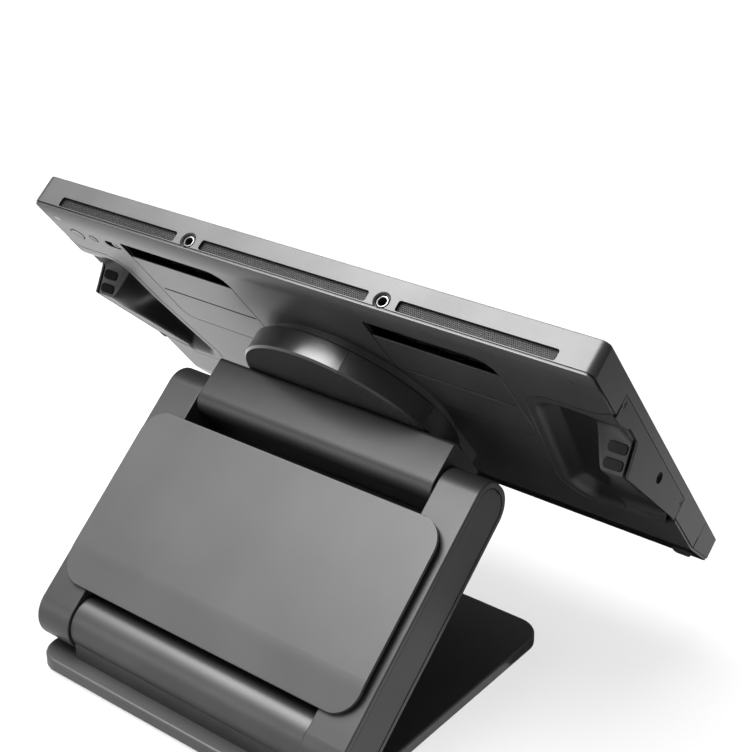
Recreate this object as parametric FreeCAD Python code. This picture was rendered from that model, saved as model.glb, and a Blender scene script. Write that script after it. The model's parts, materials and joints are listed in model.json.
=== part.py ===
import FreeCAD, Part
import math
import os

from FreeCAD import Rotation, Vector

# Pen drawing tablet on a two-hinge stand. Millimetres; +Z up, +Y towards the back, X across.
# The user sits at -Y. The origin is the middle of the whole object, on the desk.
#
# The display and the tilt head are drawn flat in the display frame: x across, y up the glass,
# z out of the glass, with the tilt hinge along x through the origin. A depth is measured from
# the front of the glass towards the back. The arm is drawn upright in the arm frame: y towards
# its rear face, z from the swing hinge at the origin up to the tilt hinge.

# ---- Pose at rest ------------------------------------------------------------------------------
TILT_ANGLE = 51.1            # display above horizontal
ARM_LEAN = 49.05             # arm forward of vertical
ARM_LENGTH = 193.0           # swing hinge to tilt hinge
SWING_HEIGHT = 35.0          # swing hinge above the desk
REAR_OVERHANG = 30.0         # base behind the swing hinge

# ---- Display -----------------------------------------------------------------------------------
DISPLAY_W = 482.0
DISPLAY_H = 291.0
DISPLAY_T = 24.2
CORNER_R = 6.0
HINGE_DEPTH = 72.0           # tilt hinge behind the front of the glass
LIP = 1.0                    # frame visible around the glass
GLASS_T = 1.5
WALL = 5.0
COVER_T = 1.7
COVER_INSET = 0.8
BEND_Y = -107.5              # the back slopes forward below this line
EDGE_DEPTH = 17.1            # depth of the lower edge
RAIL_SPLIT_Y = -108.0        # seam between the frame and its lower rail
SEAM = 0.3

HALF_W = DISPLAY_W / 2
HALF_H = DISPLAY_H / 2
COVER_FRONT = DISPLAY_T - COVER_T
FRAME_BACK = COVER_FRONT - 0.1

# ---- Top edge: vents and accessory sockets -------------------------------------------------------
VENT_DEPTHS = (13.8, 21.8)
VENT_SPANS = {"left": (-214.5, -96.7), "centre": (-73.0, 73.0), "right": (96.7, 214.5)}
VENT_CORNER_R = 2.0
GRILLE_RECESS = 2.4
GRILLE_T = 0.8
SOCKET_X = 84.6
SOCKET_DEPTH = 17.6
SOCKET_BORE_R = 3.175        # 1/4 inch thread, drawn as its plain bore
TOP_SOCKET_R = 4.9
SIDE_SOCKET_R = 4.0
SOCKET_LENGTH = 9.8
SOCKET_SINK = 1.2
SIDE_SOCKET_Y = -2.5

# ---- Grips ---------------------------------------------------------------------------------------
# Corners of each recess at the back surface and at its floor, as (|x|, y, corner radius). The two
# recesses differ because the port bays beside them aren't mirrored.
RIMS = {
    "left": ((258, 108, 0), (226, 88.4, 18), (172, 88, 28),
             (148.5, -76, 26), (222, -76, 20), (256, -42, 0)),
    "right": ((258, 97, 0), (234, 84, 16), (192.5, 84.8, 20), (190.3, 32, 60),
              (172.5, -66, 17), (222, -66, 20), (256, -37, 0)),
}
FLOORS = {
    "left": ((258, 88, 0), (224, 76, 12), (186, 75.5, 16),
             (168, -58, 14), (212, -58, 12), (256, -26, 0)),
    "right": ((258, 84, 0), (226, 73, 10), (204, 72.5, 12), (202, 30, 40),
              (190, -50, 10), (212, -50, 10), (256, -20, 0)),
}
RECESS_FLOOR = 14.5
TRAY_WALL = 1.6
TRAY_LIP = 4.0               # flat rim of a tray round its recess
TRAY_GAP = 0.25
SIDE_PLATE_T = 1.6
SIDE_PLATE_DEPTH = 8.2
SIDE_PLATE_TOP = 95.5
SIDE_PLATE_BOTTOM = -55.3
SIDE_SCREW_Y = (91.5, -51.5)
SIDE_SCREW_DEPTH = 13.0
CREST_Y = 40.6
CREST_DEPTH = 40.2
KEY_WALL_FOOT_Y = 52.2
KEY_WALL_FOOT_DEPTH = 15.6
GRIP_OUTER_X = 237.2         # outer face of a grip, with a groove between it and the side plate
GRIP_INNER = {               # inner edge of a grip, from the key wall down to its lower end
    "left": ((219, 56), (219.5, 40), (209, -5), (204.5, -35), (199, -48), (199, -64)),
    "right": ((218.5, 56), (219, 40), (218, -5), (216.5, -35), (213, -50), (212, -64)),
}
KEY_X = 229.0
KEY_SIZE = (13.4, 6.4, 2.0)   # width, height, corner radius
KEY_PROUD = 0.9
KEY_THICK = 3.6
KEY_TRAVEL = 0.8
KEY_DEPTHS = {"upper": 25.1, "lower": 34.9}
KEY_GAP = 0.35

# ---- Port bays -----------------------------------------------------------------------------------
BAY_START = {"left": -159.5, "right": 67.5}    # the same bay twice, shifted and not mirrored
BAY_W = 102.0
BAY_Y = (13.0, 117.0)
BAY_RADII = (12.0, 12.0, 2.2, 16.0)             # lower left, lower right, upper right, upper left
BAY_FLOOR = 12.5
BAY_LEDGE = 2.0
BAY_WALL = 1.6
SLOT_HEIGHT = 17.5
PORT_COVER_GAP = 0.3
COVER_SLIT = (3.0, 97.0, 56.0, 57.0)            # from the bay's start, and between two heights
CONNECTORS = ((18, 9.0, 3.2), (40, 9.0, 3.2), (62, 15.0, 4.6), (85, 16.0, 6.0))

# ---- Controls on the back ----------------------------------------------------------------------
POWER_BUTTON = (220.0, 108.9, 6.25)
SETTINGS_BUTTON = (202.0, 109.5, 4.0)
BUTTON_GAP = 0.3
BUTTON_PROUD = 0.3
BUTTON_BODY = 4.0
SWITCH_CENTRE = (181.0, 109.5)
SWITCH_RECESS = (16.0, 8.0)
SWITCH_KNOB = (8.0, 6.0)
SWITCH_START_X = -3.2
WINDOWS = ((-221.0, 127.0), (228.0, 127.0))

# ---- Hub and tilt head -------------------------------------------------------------------------
HUB_R = 85.0
HUB_DEPTHS = (31.3, 50.0)
HUB_WALL = 4.0
HUB_CHAMFER = 1.6
MOUNT_R = 77.0
MOUNT_BACK = 31.0
MOUNT_BLOCK_X = 74.0
MOUNT_BLOCK_Y = -76.0
SPIGOT_R = 22.0
RUNNING_GAP = 0.05
HEAD_HALF_W = 108.7
HEAD_HALF_H = 23.3
HEAD_BACK = 93.0
HEAD_R = 12.0
HEAD_SWEEP = 28.0            # clear radius round the tilt hinge below the head
SHAFT_R = 7.0

# ---- Arm -----------------------------------------------------------------------------------------
ARM_HALF_W = 142.5
ARM_HALF_T = 22.0
EAR_INNER = 109.7
EAR_TOP = 204.0
EAR_TOP_R = 19.0
CORE_BOTTOM = 30.0
CORE_TOP = 160.5
CORE_LIP_T = 3.0
PANEL_HALF_W = 136.0
PANEL_BOTTOM = 17.0
PANEL_TOP = 159.5
PANEL_STANDOFF = 4.0
PANEL_T = 3.0
PANEL_CORNER_R = 20.0
END_COVER_INSET = 4.5

# ---- Base ----------------------------------------------------------------------------------------
BASE_HALF_W = 140.0
BASE_FRONT = -95.0
BASE_R = 20.0
FOOT_HEIGHT = 2.5
BASE_TOP = 11.5
BARREL_R = 20.0
SWING_SHAFT_R = 8.0

tilt = math.radians(TILT_ANGLE)
lean = math.radians(ARM_LEAN)
FRONT_REACH = HALF_H * math.cos(tilt) + HINGE_DEPTH * math.sin(tilt)
SWING_Y = (ARM_LENGTH * math.sin(lean) + FRONT_REACH - REAR_OVERHANG) / 2
SWING_AXIS = Vector(0, SWING_Y, SWING_HEIGHT)
TILT_AXIS = SWING_AXIS + Vector(0, -ARM_LENGTH * math.sin(lean), ARM_LENGTH * math.cos(lean))
BASE_REAR = SWING_Y + REAR_OVERHANG

X_AXIS = Vector(1, 0, 0)
SIDES = {"left": -1, "right": 1}


# ---- Small helpers -------------------------------------------------------------------------------
def rounded_polygon(points, radii):
    """Closed wire through the points, each corner rounded by its radius."""
    count = len(points)
    corners = []
    for i in range(count):
        back = (points[i - 1] - points[i]).normalize()
        ahead = (points[(i + 1) % count] - points[i]).normalize()
        half_angle = back.getAngle(ahead) / 2
        reach = radii[i] / math.tan(half_angle)
        middle = (back + ahead).normalize() * (radii[i] / math.sin(half_angle) - radii[i])
        corners.append((points[i] + back * reach, points[i] + middle, points[i] + ahead * reach))
    edges = []
    for i, (start, middle, end) in enumerate(corners):
        if radii[i] > 0:
            edges.append(Part.Arc(start, middle, end).toShape())
        following = corners[(i + 1) % count][0]
        if end.distanceToPoint(following) > 1e-6:
            edges.append(Part.makeLine(end, following))
    return Part.Wire(edges)


def solid_from(wire, direction):
    return Part.Face(wire).extrude(direction)


def box(x0, x1, y0, y1, z0, z1):
    return Part.makeBox(x1 - x0, y1 - y0, z1 - z0, Vector(x0, y0, z0))


def rod(radius, start, end):
    return Part.makeCylinder(radius, (end - start).Length, start, end - start)


def tube(outer_r, inner_r, start, end):
    return rod(outer_r, start, end).cut(rod(inner_r, start, end))


def rounded_box(x0, x1, y0, y1, z0, z1, radius):
    """Box whose four upright edges are rounded."""
    corners = [Vector(x0, y0, z0), Vector(x1, y0, z0), Vector(x1, y1, z0), Vector(x0, y1, z0)]
    return solid_from(rounded_polygon(corners, [radius] * 4), Vector(0, 0, z1 - z0))


def slab(x0, x1, y0, y1, depth0, depth1, radius=0.0):
    """Flat piece of the display between two depths behind the glass."""
    z0, z1 = HINGE_DEPTH - depth1, HINGE_DEPTH - depth0
    if radius:
        return rounded_box(x0, x1, y0, y1, z0, z1, radius)
    return box(x0, x1, y0, y1, z0, z1)


def prism(corners, depth0, depth1):
    """Piece of the display with an outline of (x, y, corner radius) between two depths."""
    return solid_from(plan_wire(corners, depth1), Vector(0, 0, depth1 - depth0))


def depth_rod(radius, x, y, depth0, depth1):
    return rod(radius, Vector(x, y, HINGE_DEPTH - depth0), Vector(x, y, HINGE_DEPTH - depth1))


def fuse_all(shapes):
    return shapes[0].multiFuse(shapes[1:]).removeSplitter()


def cut_all(shape, tools):
    for tool in tools:
        shape = shape.cut(tool)
    return shape


def mirror_x(shape):
    return shape.mirror(Vector(0, 0, 0), X_AXIS)


def on_side(shape, sign):
    """Shapes are drawn on the +x side and mirrored for the other one."""
    return shape if sign > 0 else mirror_x(shape)


def edges_at(shape, axis, value):
    """Edges that lie in the plane where the given coordinate has the given value."""
    found = []
    for edge in shape.Edges:
        bounds = edge.BoundBox
        low, high = getattr(bounds, axis + "Min"), getattr(bounds, axis + "Max")
        if abs(low - value) < 1e-4 and abs(high - value) < 1e-4:
            found.append(edge)
    return found


# ---- Display: shared shapes ----------------------------------------------------------------------
def back_profile(lowered):
    """Side view of the space behind the back surface, or behind one lowered into the display."""
    slope = (DISPLAY_T - EDGE_DEPTH) / (HALF_H + BEND_Y)
    flat = DISPLAY_T - lowered
    low_y = -HALF_H - 5
    low = flat + slope * (low_y - BEND_Y)
    outline = [(HALF_H + 5, flat), (BEND_Y, flat), (low_y, low), (low_y, 60), (HALF_H + 5, 60)]
    points = [Vector(-HALF_W - 5, y, HINGE_DEPTH - depth) for y, depth in outline]
    return solid_from(rounded_polygon(points, [0] * 5), Vector(DISPLAY_W + 10, 0, 0))


def plan_wire(corners, depth, offset=0.0):
    points = [Vector(x, y, HINGE_DEPTH - depth) for x, y, radius in corners]
    wire = rounded_polygon(points, [radius for x, y, radius in corners])
    return wire.makeOffset2D(offset) if offset else wire


def recess_space(side, offset=0.0):
    """Space of one finger recess, from its floor out through its rim, grown by an offset."""
    floor = plan_wire(FLOORS[side], RECESS_FLOOR - max(offset, 0.0), max(offset, 0.0))
    rim = plan_wire(RIMS[side], DISPLAY_T, offset)
    bowl = Part.makeLoft([rim, floor], True, True)
    above = solid_from(rim, Vector(0, 0, -30))
    return on_side(fuse_all([bowl, above]), SIDES[side])


def bay_space(side, inset, depth0, depth1):
    start, stop = BAY_START[side] + inset, BAY_START[side] + BAY_W - inset
    low, top = BAY_Y[0] + inset, BAY_Y[1] - inset
    places = ((start, low), (stop, low), (stop, top), (start, top))
    corners = [(x, y, max(radius - inset, 0.2)) for (x, y), radius in zip(places, BAY_RADII)]
    return prism(corners, depth0, depth1)


def socket_tools():
    """Holes for the four accessory sockets, with their shallow countersinks."""
    tools = []
    z = HINGE_DEPTH - SOCKET_DEPTH
    for sign in SIDES.values():
        top = Vector(sign * SOCKET_X, HALF_H, z)
        side = Vector(sign * HALF_W, SIDE_SOCKET_Y, z)
        for mouth, inward, radius in ((top, Vector(0, -1, 0), TOP_SOCKET_R),
                                      (side, Vector(-sign, 0, 0), SIDE_SOCKET_R)):
            tools.append(rod(radius + 0.05, mouth - inward, mouth + inward * 12))
            tools.append(Part.makeCone(6.4, radius + 0.3, SOCKET_SINK, mouth, inward))
    return tools


def side_profile():
    """Outline of a side plate and of the grip behind it, seen from the side."""
    crest = (CREST_Y, CREST_DEPTH, 1.6)
    foot = (KEY_WALL_FOOT_Y, KEY_WALL_FOOT_DEPTH, 1.5)
    above_foot = (KEY_WALL_FOOT_Y + 4, KEY_WALL_FOOT_DEPTH, 6.0)
    top = ((SIDE_PLATE_TOP, SIDE_PLATE_DEPTH, 1.0), (SIDE_PLATE_TOP, DISPLAY_T - 0.3, 1.0))
    bottom = ((SIDE_PLATE_BOTTOM, DISPLAY_T, 1.0), (SIDE_PLATE_BOTTOM, SIDE_PLATE_DEPTH, 4.0))
    return (*top, above_foot, foot, crest, *bottom)


# ---- Display: shells -------------------------------------------------------------------------
def frame_ring():
    outer = slab(-HALF_W, HALF_W, -HALF_H, HALF_H, 0, FRAME_BACK, CORNER_R)
    outer = outer.makeChamfer(0.6, edges_at(outer, "Z", HINGE_DEPTH))
    seat = slab(-HALF_W + LIP, HALF_W - LIP, -HALF_H + LIP, HALF_H - LIP, -1, GLASS_T, CORNER_R - LIP)
    cavity = slab(-HALF_W + WALL, HALF_W - WALL, -HALF_H + WALL, HALF_H - WALL, 0, 40, CORNER_R - WALL)
    tools = [seat, cavity, back_profile(COVER_T + 0.1)]
    for low, high in VENT_SPANS.values():
        tools.append(vent_prism(low, high, HALF_H - WALL - 1, HALF_H + 1, 0))
    for side, sign in SIDES.items():
        tools.append(on_side(side_plate_seat(SIDE_PLATE_DEPTH - 0.3), sign))
        tools.append(recess_space(side))
    return cut_all(outer, tools + socket_tools() + [side_screw_holes()])


def vent_prism(low, high, y0, y1, clearance):
    """Rounded slot through the top edge, or the grille that fills it with some clearance."""
    z0 = HINGE_DEPTH - VENT_DEPTHS[1] + clearance
    z1 = HINGE_DEPTH - VENT_DEPTHS[0] - clearance
    x0, x1 = low + clearance, high - clearance
    corners = [Vector(x0, y0, z0), Vector(x1, y0, z0), Vector(x1, y0, z1), Vector(x0, y0, z1)]
    return solid_from(rounded_polygon(corners, [VENT_CORNER_R - clearance] * 4), Vector(0, y1 - y0, 0))


def split_frame():
    """The frame above its seam, and the rail below it."""
    ring = frame_ring()
    upper = slab(-HALF_W - 1, HALF_W + 1, RAIL_SPLIT_Y + SEAM / 2, HALF_H + 1, -1, 40)
    lower = slab(-HALF_W - 1, HALF_W + 1, -HALF_H - 1, RAIL_SPLIT_Y - SEAM / 2, -1, 40)
    notches = [slab(sign * HALF_W - 1.5, sign * HALF_W + 1.5, RAIL_SPLIT_Y, RAIL_SPLIT_Y + 1.3, 13.5, 40)
               for sign in SIDES.values()]
    return cut_all(ring.common(upper), notches), ring.common(lower)


def side_plate_seat(depth):
    """Room for a side plate in the frame and in the back cover."""
    low, high = SIDE_PLATE_BOTTOM - 0.3, SIDE_PLATE_TOP + 0.3
    return slab(HALF_W - SIDE_PLATE_T - 0.1, HALF_W + 1, low, high, depth, 40)


def cover_sheet():
    """The back skin with its sloping lower strip, before anything is cut out of it."""
    outline = slab(-HALF_W + COVER_INSET, HALF_W - COVER_INSET, -HALF_H + COVER_INSET, HALF_H - COVER_INSET,
                   0, DISPLAY_T + 1, CORNER_R - COVER_INSET)
    return outline.common(back_profile(COVER_T)).cut(back_profile(0))


def space_in_frame():
    return slab(-HALF_W + WALL + 0.2, HALF_W - WALL - 0.2, -HALF_H + WALL, HALF_H - WALL, 0, COVER_FRONT)


def back_cover():
    added = [cover_sheet()]
    removed = []
    for side, sign in SIDES.items():
        outside = BAY_LEDGE - BAY_WALL
        added.append(bay_space(side, outside, BAY_FLOOR - BAY_WALL, COVER_FRONT))
        removed.append(recess_space(side, TRAY_WALL + TRAY_GAP))
        removed.append(bay_space(side, 0, COVER_FRONT + 0.1, 40))
        removed.append(bay_space(side, BAY_LEDGE, BAY_FLOOR, 40))
        removed.append(on_side(side_plate_seat(SIDE_PLATE_DEPTH), sign))
    for x, y, radius in (POWER_BUTTON, SETTINGS_BUTTON):
        removed.append(depth_rod(radius + BUTTON_GAP, x, y, 10, 40))
    removed.append(switch_recess())
    for x, y in WINDOWS:
        removed.append(window_block(x, y, 0.03))
    removed.extend(mount_screw_holes())
    removed.extend(foot_pads(0.02))
    return cut_all(fuse_all(added), removed + socket_tools())


def grip_tray(side):
    """Bowl of one finger recess, with a flat rim that lies flush in the back cover."""
    sign = SIDES[side]
    shell = recess_space(side, TRAY_WALL)
    bowl = shell.common(space_in_frame())
    rim = shell.common(cover_sheet())
    tray = fuse_all([bowl, rim]).cut(recess_space(side, -TRAY_LIP))
    tools = socket_tools() + [on_side(side_plate_seat(0), sign)]
    return cut_all(tray, tools)


def switch_recess():
    x, y = SWITCH_CENTRE
    half_w, half_h = SWITCH_RECESS[0] / 2, SWITCH_RECESS[1] / 2
    return slab(x - half_w, x + half_w, y - half_h, y + half_h, 10, 40, half_h - 0.1)


def window_block(x, y, gap):
    return slab(x - 3 - gap, x + 3 + gap, y - 2 - gap, y + 2 + gap, DISPLAY_T - 1 - gap, DISPLAY_T + gap, 0.9)


def side_plate():
    outline = side_profile()
    points = [Vector(HALF_W - SIDE_PLATE_T, y, HINGE_DEPTH - depth) for y, depth, radius in outline]
    wire = rounded_polygon(points, [radius for y, depth, radius in outline])
    plate = solid_from(wire, Vector(SIDE_PLATE_T, 0, 0))
    return cut_all(plate, socket_tools() + [side_screw_holes()])


def side_screw_places():
    return [(sign, y) for sign in SIDES.values() for y in SIDE_SCREW_Y]


def side_screw_holes():
    holes = []
    z = HINGE_DEPTH - SIDE_SCREW_DEPTH
    for sign, y in side_screw_places():
        holes.append(rod(1.25, Vector(sign * (HALF_W + 1), y, z), Vector(sign * (HALF_W - 6), y, z)))
        holes.append(rod(2.1, Vector(sign * (HALF_W + 1), y, z), Vector(sign * (HALF_W - 1.0), y, z)))
    return holes[0].multiFuse(holes[1:])


def side_screws():
    screws = []
    z = HINGE_DEPTH - SIDE_SCREW_DEPTH
    for sign, y in side_screw_places():
        head_face = Vector(sign * (HALF_W - 0.3), y, z)
        seat = Vector(sign * (HALF_W - 1.0), y, z)
        tip = Vector(sign * (HALF_W - 5.0), y, z)
        screw = fuse_all([rod(2.0, head_face, seat), rod(1.2, seat, tip)])
        screws.append(screw.cut(rod(0.8, head_face, head_face + Vector(-sign * 0.5, 0, 0))))
    return Part.makeCompound(screws)


def key_placement(depth):
    """Frame of a key: x across, y down the wall towards the crest, z straight out of the wall."""
    rise = CREST_DEPTH - KEY_WALL_FOOT_DEPTH
    run = KEY_WALL_FOOT_Y - CREST_Y
    y = KEY_WALL_FOOT_Y - run * (depth - KEY_WALL_FOOT_DEPTH) / rise
    angle = -90 - math.degrees(math.atan2(run, rise))
    return FreeCAD.Placement(Vector(KEY_X, y, HINGE_DEPTH - depth), Rotation(X_AXIS, angle))


def key_block(depth, gap, low, high):
    width, height, radius = KEY_SIZE
    block = rounded_box(-width / 2 - gap, width / 2 + gap, -height / 2 - gap, height / 2 + gap,
                        low, high, radius + gap)
    block.Placement = key_placement(depth)
    return block


def express_key(depth):
    return key_block(depth, 0, KEY_PROUD - KEY_THICK, KEY_PROUD)


def grip_pod(side):
    """Raised grip with the key wall at its upper end; it stands on the floor of its tray."""
    end_y = SIDE_PLATE_BOTTOM - 3
    outline = ((KEY_WALL_FOOT_Y, KEY_WALL_FOOT_DEPTH, 0), (CREST_Y, CREST_DEPTH, 1.6),
               (end_y, DISPLAY_T - 0.5, 0), (end_y, RECESS_FLOOR, 0), (KEY_WALL_FOOT_Y, RECESS_FLOOR, 0))
    points = [Vector(190, y, HINGE_DEPTH - depth) for y, depth, radius in outline]
    ridge = solid_from(rounded_polygon(points, [radius for y, depth, radius in outline]), Vector(60, 0, 0))
    inner = GRIP_INNER[side]
    outer = [(GRIP_OUTER_X, inner[-1][1]), (GRIP_OUTER_X, inner[0][1])]
    corners = [(x, y, 0) for x, y in (*inner, *outer)]
    pod = ridge.common(prism(corners, 0, 60))
    pockets = [key_block(depth, KEY_GAP, -KEY_THICK - KEY_TRAVEL, 5) for depth in KEY_DEPTHS.values()]
    pod = on_side(cut_all(pod, pockets), SIDES[side]).common(recess_space(side, -TRAY_LIP - 0.02))
    pod = cut_all(pod, socket_tools() + [side_screw_holes()])
    return max(pod.Solids, key=lambda piece: piece.Volume)


# ---- Display: fittings -----------------------------------------------------------------------
def accessory_sockets():
    z = HINGE_DEPTH - SOCKET_DEPTH
    sockets = []
    for sign in SIDES.values():
        top = Vector(sign * SOCKET_X, HALF_H - SOCKET_SINK, z)
        side = Vector(sign * (HALF_W - SIDE_PLATE_T - 0.2), SIDE_SOCKET_Y, z)
        for mouth, inward, radius in ((top, Vector(0, -1, 0), TOP_SOCKET_R),
                                      (side, Vector(-sign, 0, 0), SIDE_SOCKET_R)):
            sockets.append(tube(radius, SOCKET_BORE_R, mouth, mouth + inward * SOCKET_LENGTH))
    return Part.makeCompound(sockets)


def port_cover(side):
    start = BAY_START[side]
    area = slab(start - 5, start + BAY_W + 5, BAY_Y[0] - 5, BAY_Y[1] - SLOT_HEIGHT, 0, 60)
    flap = bay_space(side, PORT_COVER_GAP, COVER_FRONT + 0.12, DISPLAY_T).common(area)
    x0, x1, y0, y1 = COVER_SLIT
    return flap.cut(slab(start + x0, start + x1, y0, y1, DISPLAY_T - 0.6, 60))


def port_connectors():
    """Sockets on a small board in each bay; their mouths face the open slot."""
    parts = []
    board_back = BAY_FLOOR + 1.7
    for start in BAY_START.values():
        parts.append(slab(start + 6, start + BAY_W - 6, 24, 86, BAY_FLOOR + 0.1, board_back))
        for offset, width, height in CONNECTORS:
            x = start + offset
            body = slab(x - width / 2, x + width / 2, 66, 89, board_back, board_back + height)
            mouth = slab(x - width / 2 + 0.6, x + width / 2 - 0.6, 72, 95, board_back + 0.6,
                         board_back + height - 0.6)
            parts.append(body.cut(mouth))
    return Part.makeCompound(parts)


def button(x, y, radius):
    return depth_rod(radius, x, y, DISPLAY_T + BUTTON_PROUD - BUTTON_BODY, DISPLAY_T + BUTTON_PROUD)


def touch_switch():
    x, y = SWITCH_CENTRE
    x = x + SWITCH_START_X
    half_w, half_h = SWITCH_KNOB[0] / 2, SWITCH_KNOB[1] / 2
    knob = slab(x - half_w, x + half_w, y - half_h, y + half_h, 19.5, DISPLAY_T - 0.4, 2.2)
    ridges = [slab(x + step - 0.3, x + step + 0.3, y - 1.8, y + 1.8, DISPLAY_T - 0.8, 40)
              for step in (-1.6, 0, 1.6)]
    return cut_all(knob, ridges)


def foot_pads(gap=0.0):
    """Rubber pads on the sloping strip of the back, near the lower corners."""
    slope = math.degrees(math.atan2(DISPLAY_T - EDGE_DEPTH, HALF_H + BEND_Y))
    pads = []
    for sign in SIDES.values():
        pad = rounded_box(-7 - gap, 7 + gap, -4 - gap, 4 + gap, -1.6, 1.0 + gap, 3.5)
        y = -129.5
        depth = DISPLAY_T + (DISPLAY_T - EDGE_DEPTH) / (HALF_H + BEND_Y) * (y - BEND_Y)
        pad.Placement = FreeCAD.Placement(Vector(sign * 226, y, HINGE_DEPTH - depth), Rotation(X_AXIS, slope))
        pads.append(pad)
    return pads


def mount_screw_holes():
    return [depth_rod(2.05, sx * 50, sy * 50, 15, 29) for sx in (-1, 1) for sy in (-1, 1)]


def mount_screws():
    screws = []
    for sx in (-1, 1):
        for sy in (-1, 1):
            head = depth_rod(3.9, sx * 50, sy * 50, 28, 30.6)
            shank = depth_rod(2.0, sx * 50, sy * 50, 20, 28)
            screws.append(fuse_all([head, shank]))
    return Part.makeCompound(screws)


def mount_plate():
    round_part = depth_rod(MOUNT_R, 0, 0, DISPLAY_T, MOUNT_BACK)
    block = slab(-MOUNT_BLOCK_X, MOUNT_BLOCK_X, MOUNT_BLOCK_Y, 0, DISPLAY_T, MOUNT_BACK, 10)
    corners = slab(-MOUNT_BLOCK_X, MOUNT_BLOCK_X, MOUNT_BLOCK_Y, -20, MOUNT_BACK, MOUNT_BACK + 4.5, 10)
    corners = corners.cut(depth_rod(HUB_R + 1.5, 0, 0, 20, 60))
    spigot = depth_rod(SPIGOT_R, 0, 0, MOUNT_BACK, 42)
    plate = fuse_all([round_part, block, corners, spigot])
    tools = mount_screw_holes() + [latch_slot(0.35)]
    tools += [depth_rod(4.2, sx * 50, sy * 50, 28, 40) for sx in (-1, 1) for sy in (-1, 1)]
    tools.append(depth_rod(12, 0, 0, 20, 60))
    return cut_all(plate, tools)


def latch_slot(gap):
    return slab(-18 - gap, 18 + gap, MOUNT_BLOCK_Y - 4, -52, 26 - gap, 29.2 + gap, 0)


def release_latch():
    tongue = slab(-18, 18, MOUNT_BLOCK_Y - 4, -58, 26, 29.2)
    tab = slab(-21, 21, MOUNT_BLOCK_Y - 11, MOUNT_BLOCK_Y - 3.2, 25.2, 30.2, 2)
    return fuse_all([tongue, tab])


# ---- Display: inner parts --------------------------------------------------------------------
def inner_plate(margin, depth0, depth1):
    return slab(-HALF_W + margin, HALF_W - margin, -HALF_H + margin, HALF_H - margin, depth0, depth1,
                CORNER_R - WALL)


def blower_centre(sign):
    return sign * 27.0, 93.0


def fan_housings():
    housings = []
    for sign in SIDES.values():
        x, y = blower_centre(sign)
        case = slab(x - 25, x + 25, y - 25, y + 27, 9.5, 20)
        well = depth_rod(21, x, y, 10.5, 19)
        duct = slab(x - 21, x + 21, y, y + 40, 10.5, 19)
        inlet = depth_rod(14, x, y, 18, 30)
        housings.append(cut_all(case, [well, duct, inlet]))
    return Part.makeCompound(housings)


def fan_rotor(sign):
    x, y = blower_centre(sign)
    hub = depth_rod(8, x, y, 10.8, 18.5)
    blades = []
    for turn in range(11):
        blade = slab(x + 7, x + 19.5, y - 0.5, y + 0.5, 11, 18)
        blade.rotate(Vector(x, y, 0), Vector(0, 0, 1), turn * 360 / 11)
        blades.append(blade)
    return fuse_all([hub] + blades)


def heat_sink():
    base = slab(-70, 70, 121, 138, 9.5, 11)
    fins = [slab(x, x + 0.8, 121, 138, 11, 20.5) for x in range(-69, 70, 3)]
    return fuse_all([base] + fins)


def main_board():
    board = slab(-130, 130, -100, 6, 9.6, 11.2)
    places = ((-60, -40, 30, 2.4), (20, -30, 24, 2.0), (75, -60, 18, 1.6), (-15, -75, 14, 3.0))
    chips = [slab(x - size / 2, x + size / 2, y - size / 2, y + size / 2, 11.2, 11.2 + height)
             for x, y, size, height in places]
    return fuse_all([board] + chips)


# ---- Tilt head -----------------------------------------------------------------------------------
def hub_disc():
    front, back = HUB_DEPTHS
    disc = depth_rod(HUB_R, 0, 0, front, back)
    disc = disc.makeChamfer(HUB_CHAMFER, edges_at(disc, "Z", HINGE_DEPTH - back))
    disc = disc.makeChamfer(HUB_CHAMFER * 0.7, edges_at(disc, "Z", HINGE_DEPTH - front))
    hollow = depth_rod(HUB_R - HUB_WALL, 0, 0, front - 1, back - 4)
    return cut_all(disc, [hollow, hub_sector(0.25)])


def hub_sector(gap):
    """Part of the disc's wall from 23 to 72 degrees off the top, where a separate cover sits."""
    front, back = HUB_DEPTHS
    start, stop = math.radians(90 + 23), math.radians(90 + 72)
    reach = HUB_R + 10
    middle = (start + stop) / 2
    spread = (stop - start) / 2 + gap / HUB_R
    points = [Vector(0, 0, 0)]
    for angle in (middle - spread, middle, middle + spread):
        length = reach if angle != middle else reach * 1.2
        points.append(Vector(length * math.cos(angle), length * math.sin(angle), 0))
    wedge = solid_from(rounded_polygon(points, [0] * 4), Vector(0, 0, back - front + 2))
    wedge.translate(Vector(0, 0, HINGE_DEPTH - back - 1))
    return wedge.cut(depth_rod(HUB_R - 2.2 - gap, 0, 0, front - 5, back + 5))


def hub_side_cover():
    front, back = HUB_DEPTHS
    disc = depth_rod(HUB_R, 0, 0, front, back)
    disc = disc.makeChamfer(HUB_CHAMFER, edges_at(disc, "Z", HINGE_DEPTH - back))
    disc = disc.makeChamfer(HUB_CHAMFER * 0.7, edges_at(disc, "Z", HINGE_DEPTH - front))
    return disc.common(hub_sector(0))


def hub_pivot_plate():
    front = HUB_DEPTHS[0]
    plate = depth_rod(HUB_R - HUB_WALL, 0, 0, front, front + 5)
    return plate.cut(depth_rod(SPIGOT_R + RUNNING_GAP, 0, 0, 20, 60))


def hub_retaining_ring():
    """Steel ring bolted to the spigot's end; it keeps the disc on the display."""
    ring = depth_rod(27, 0, 0, 42, 44.5)
    return ring.cut(depth_rod(12, 0, 0, 20, 60))


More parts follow.
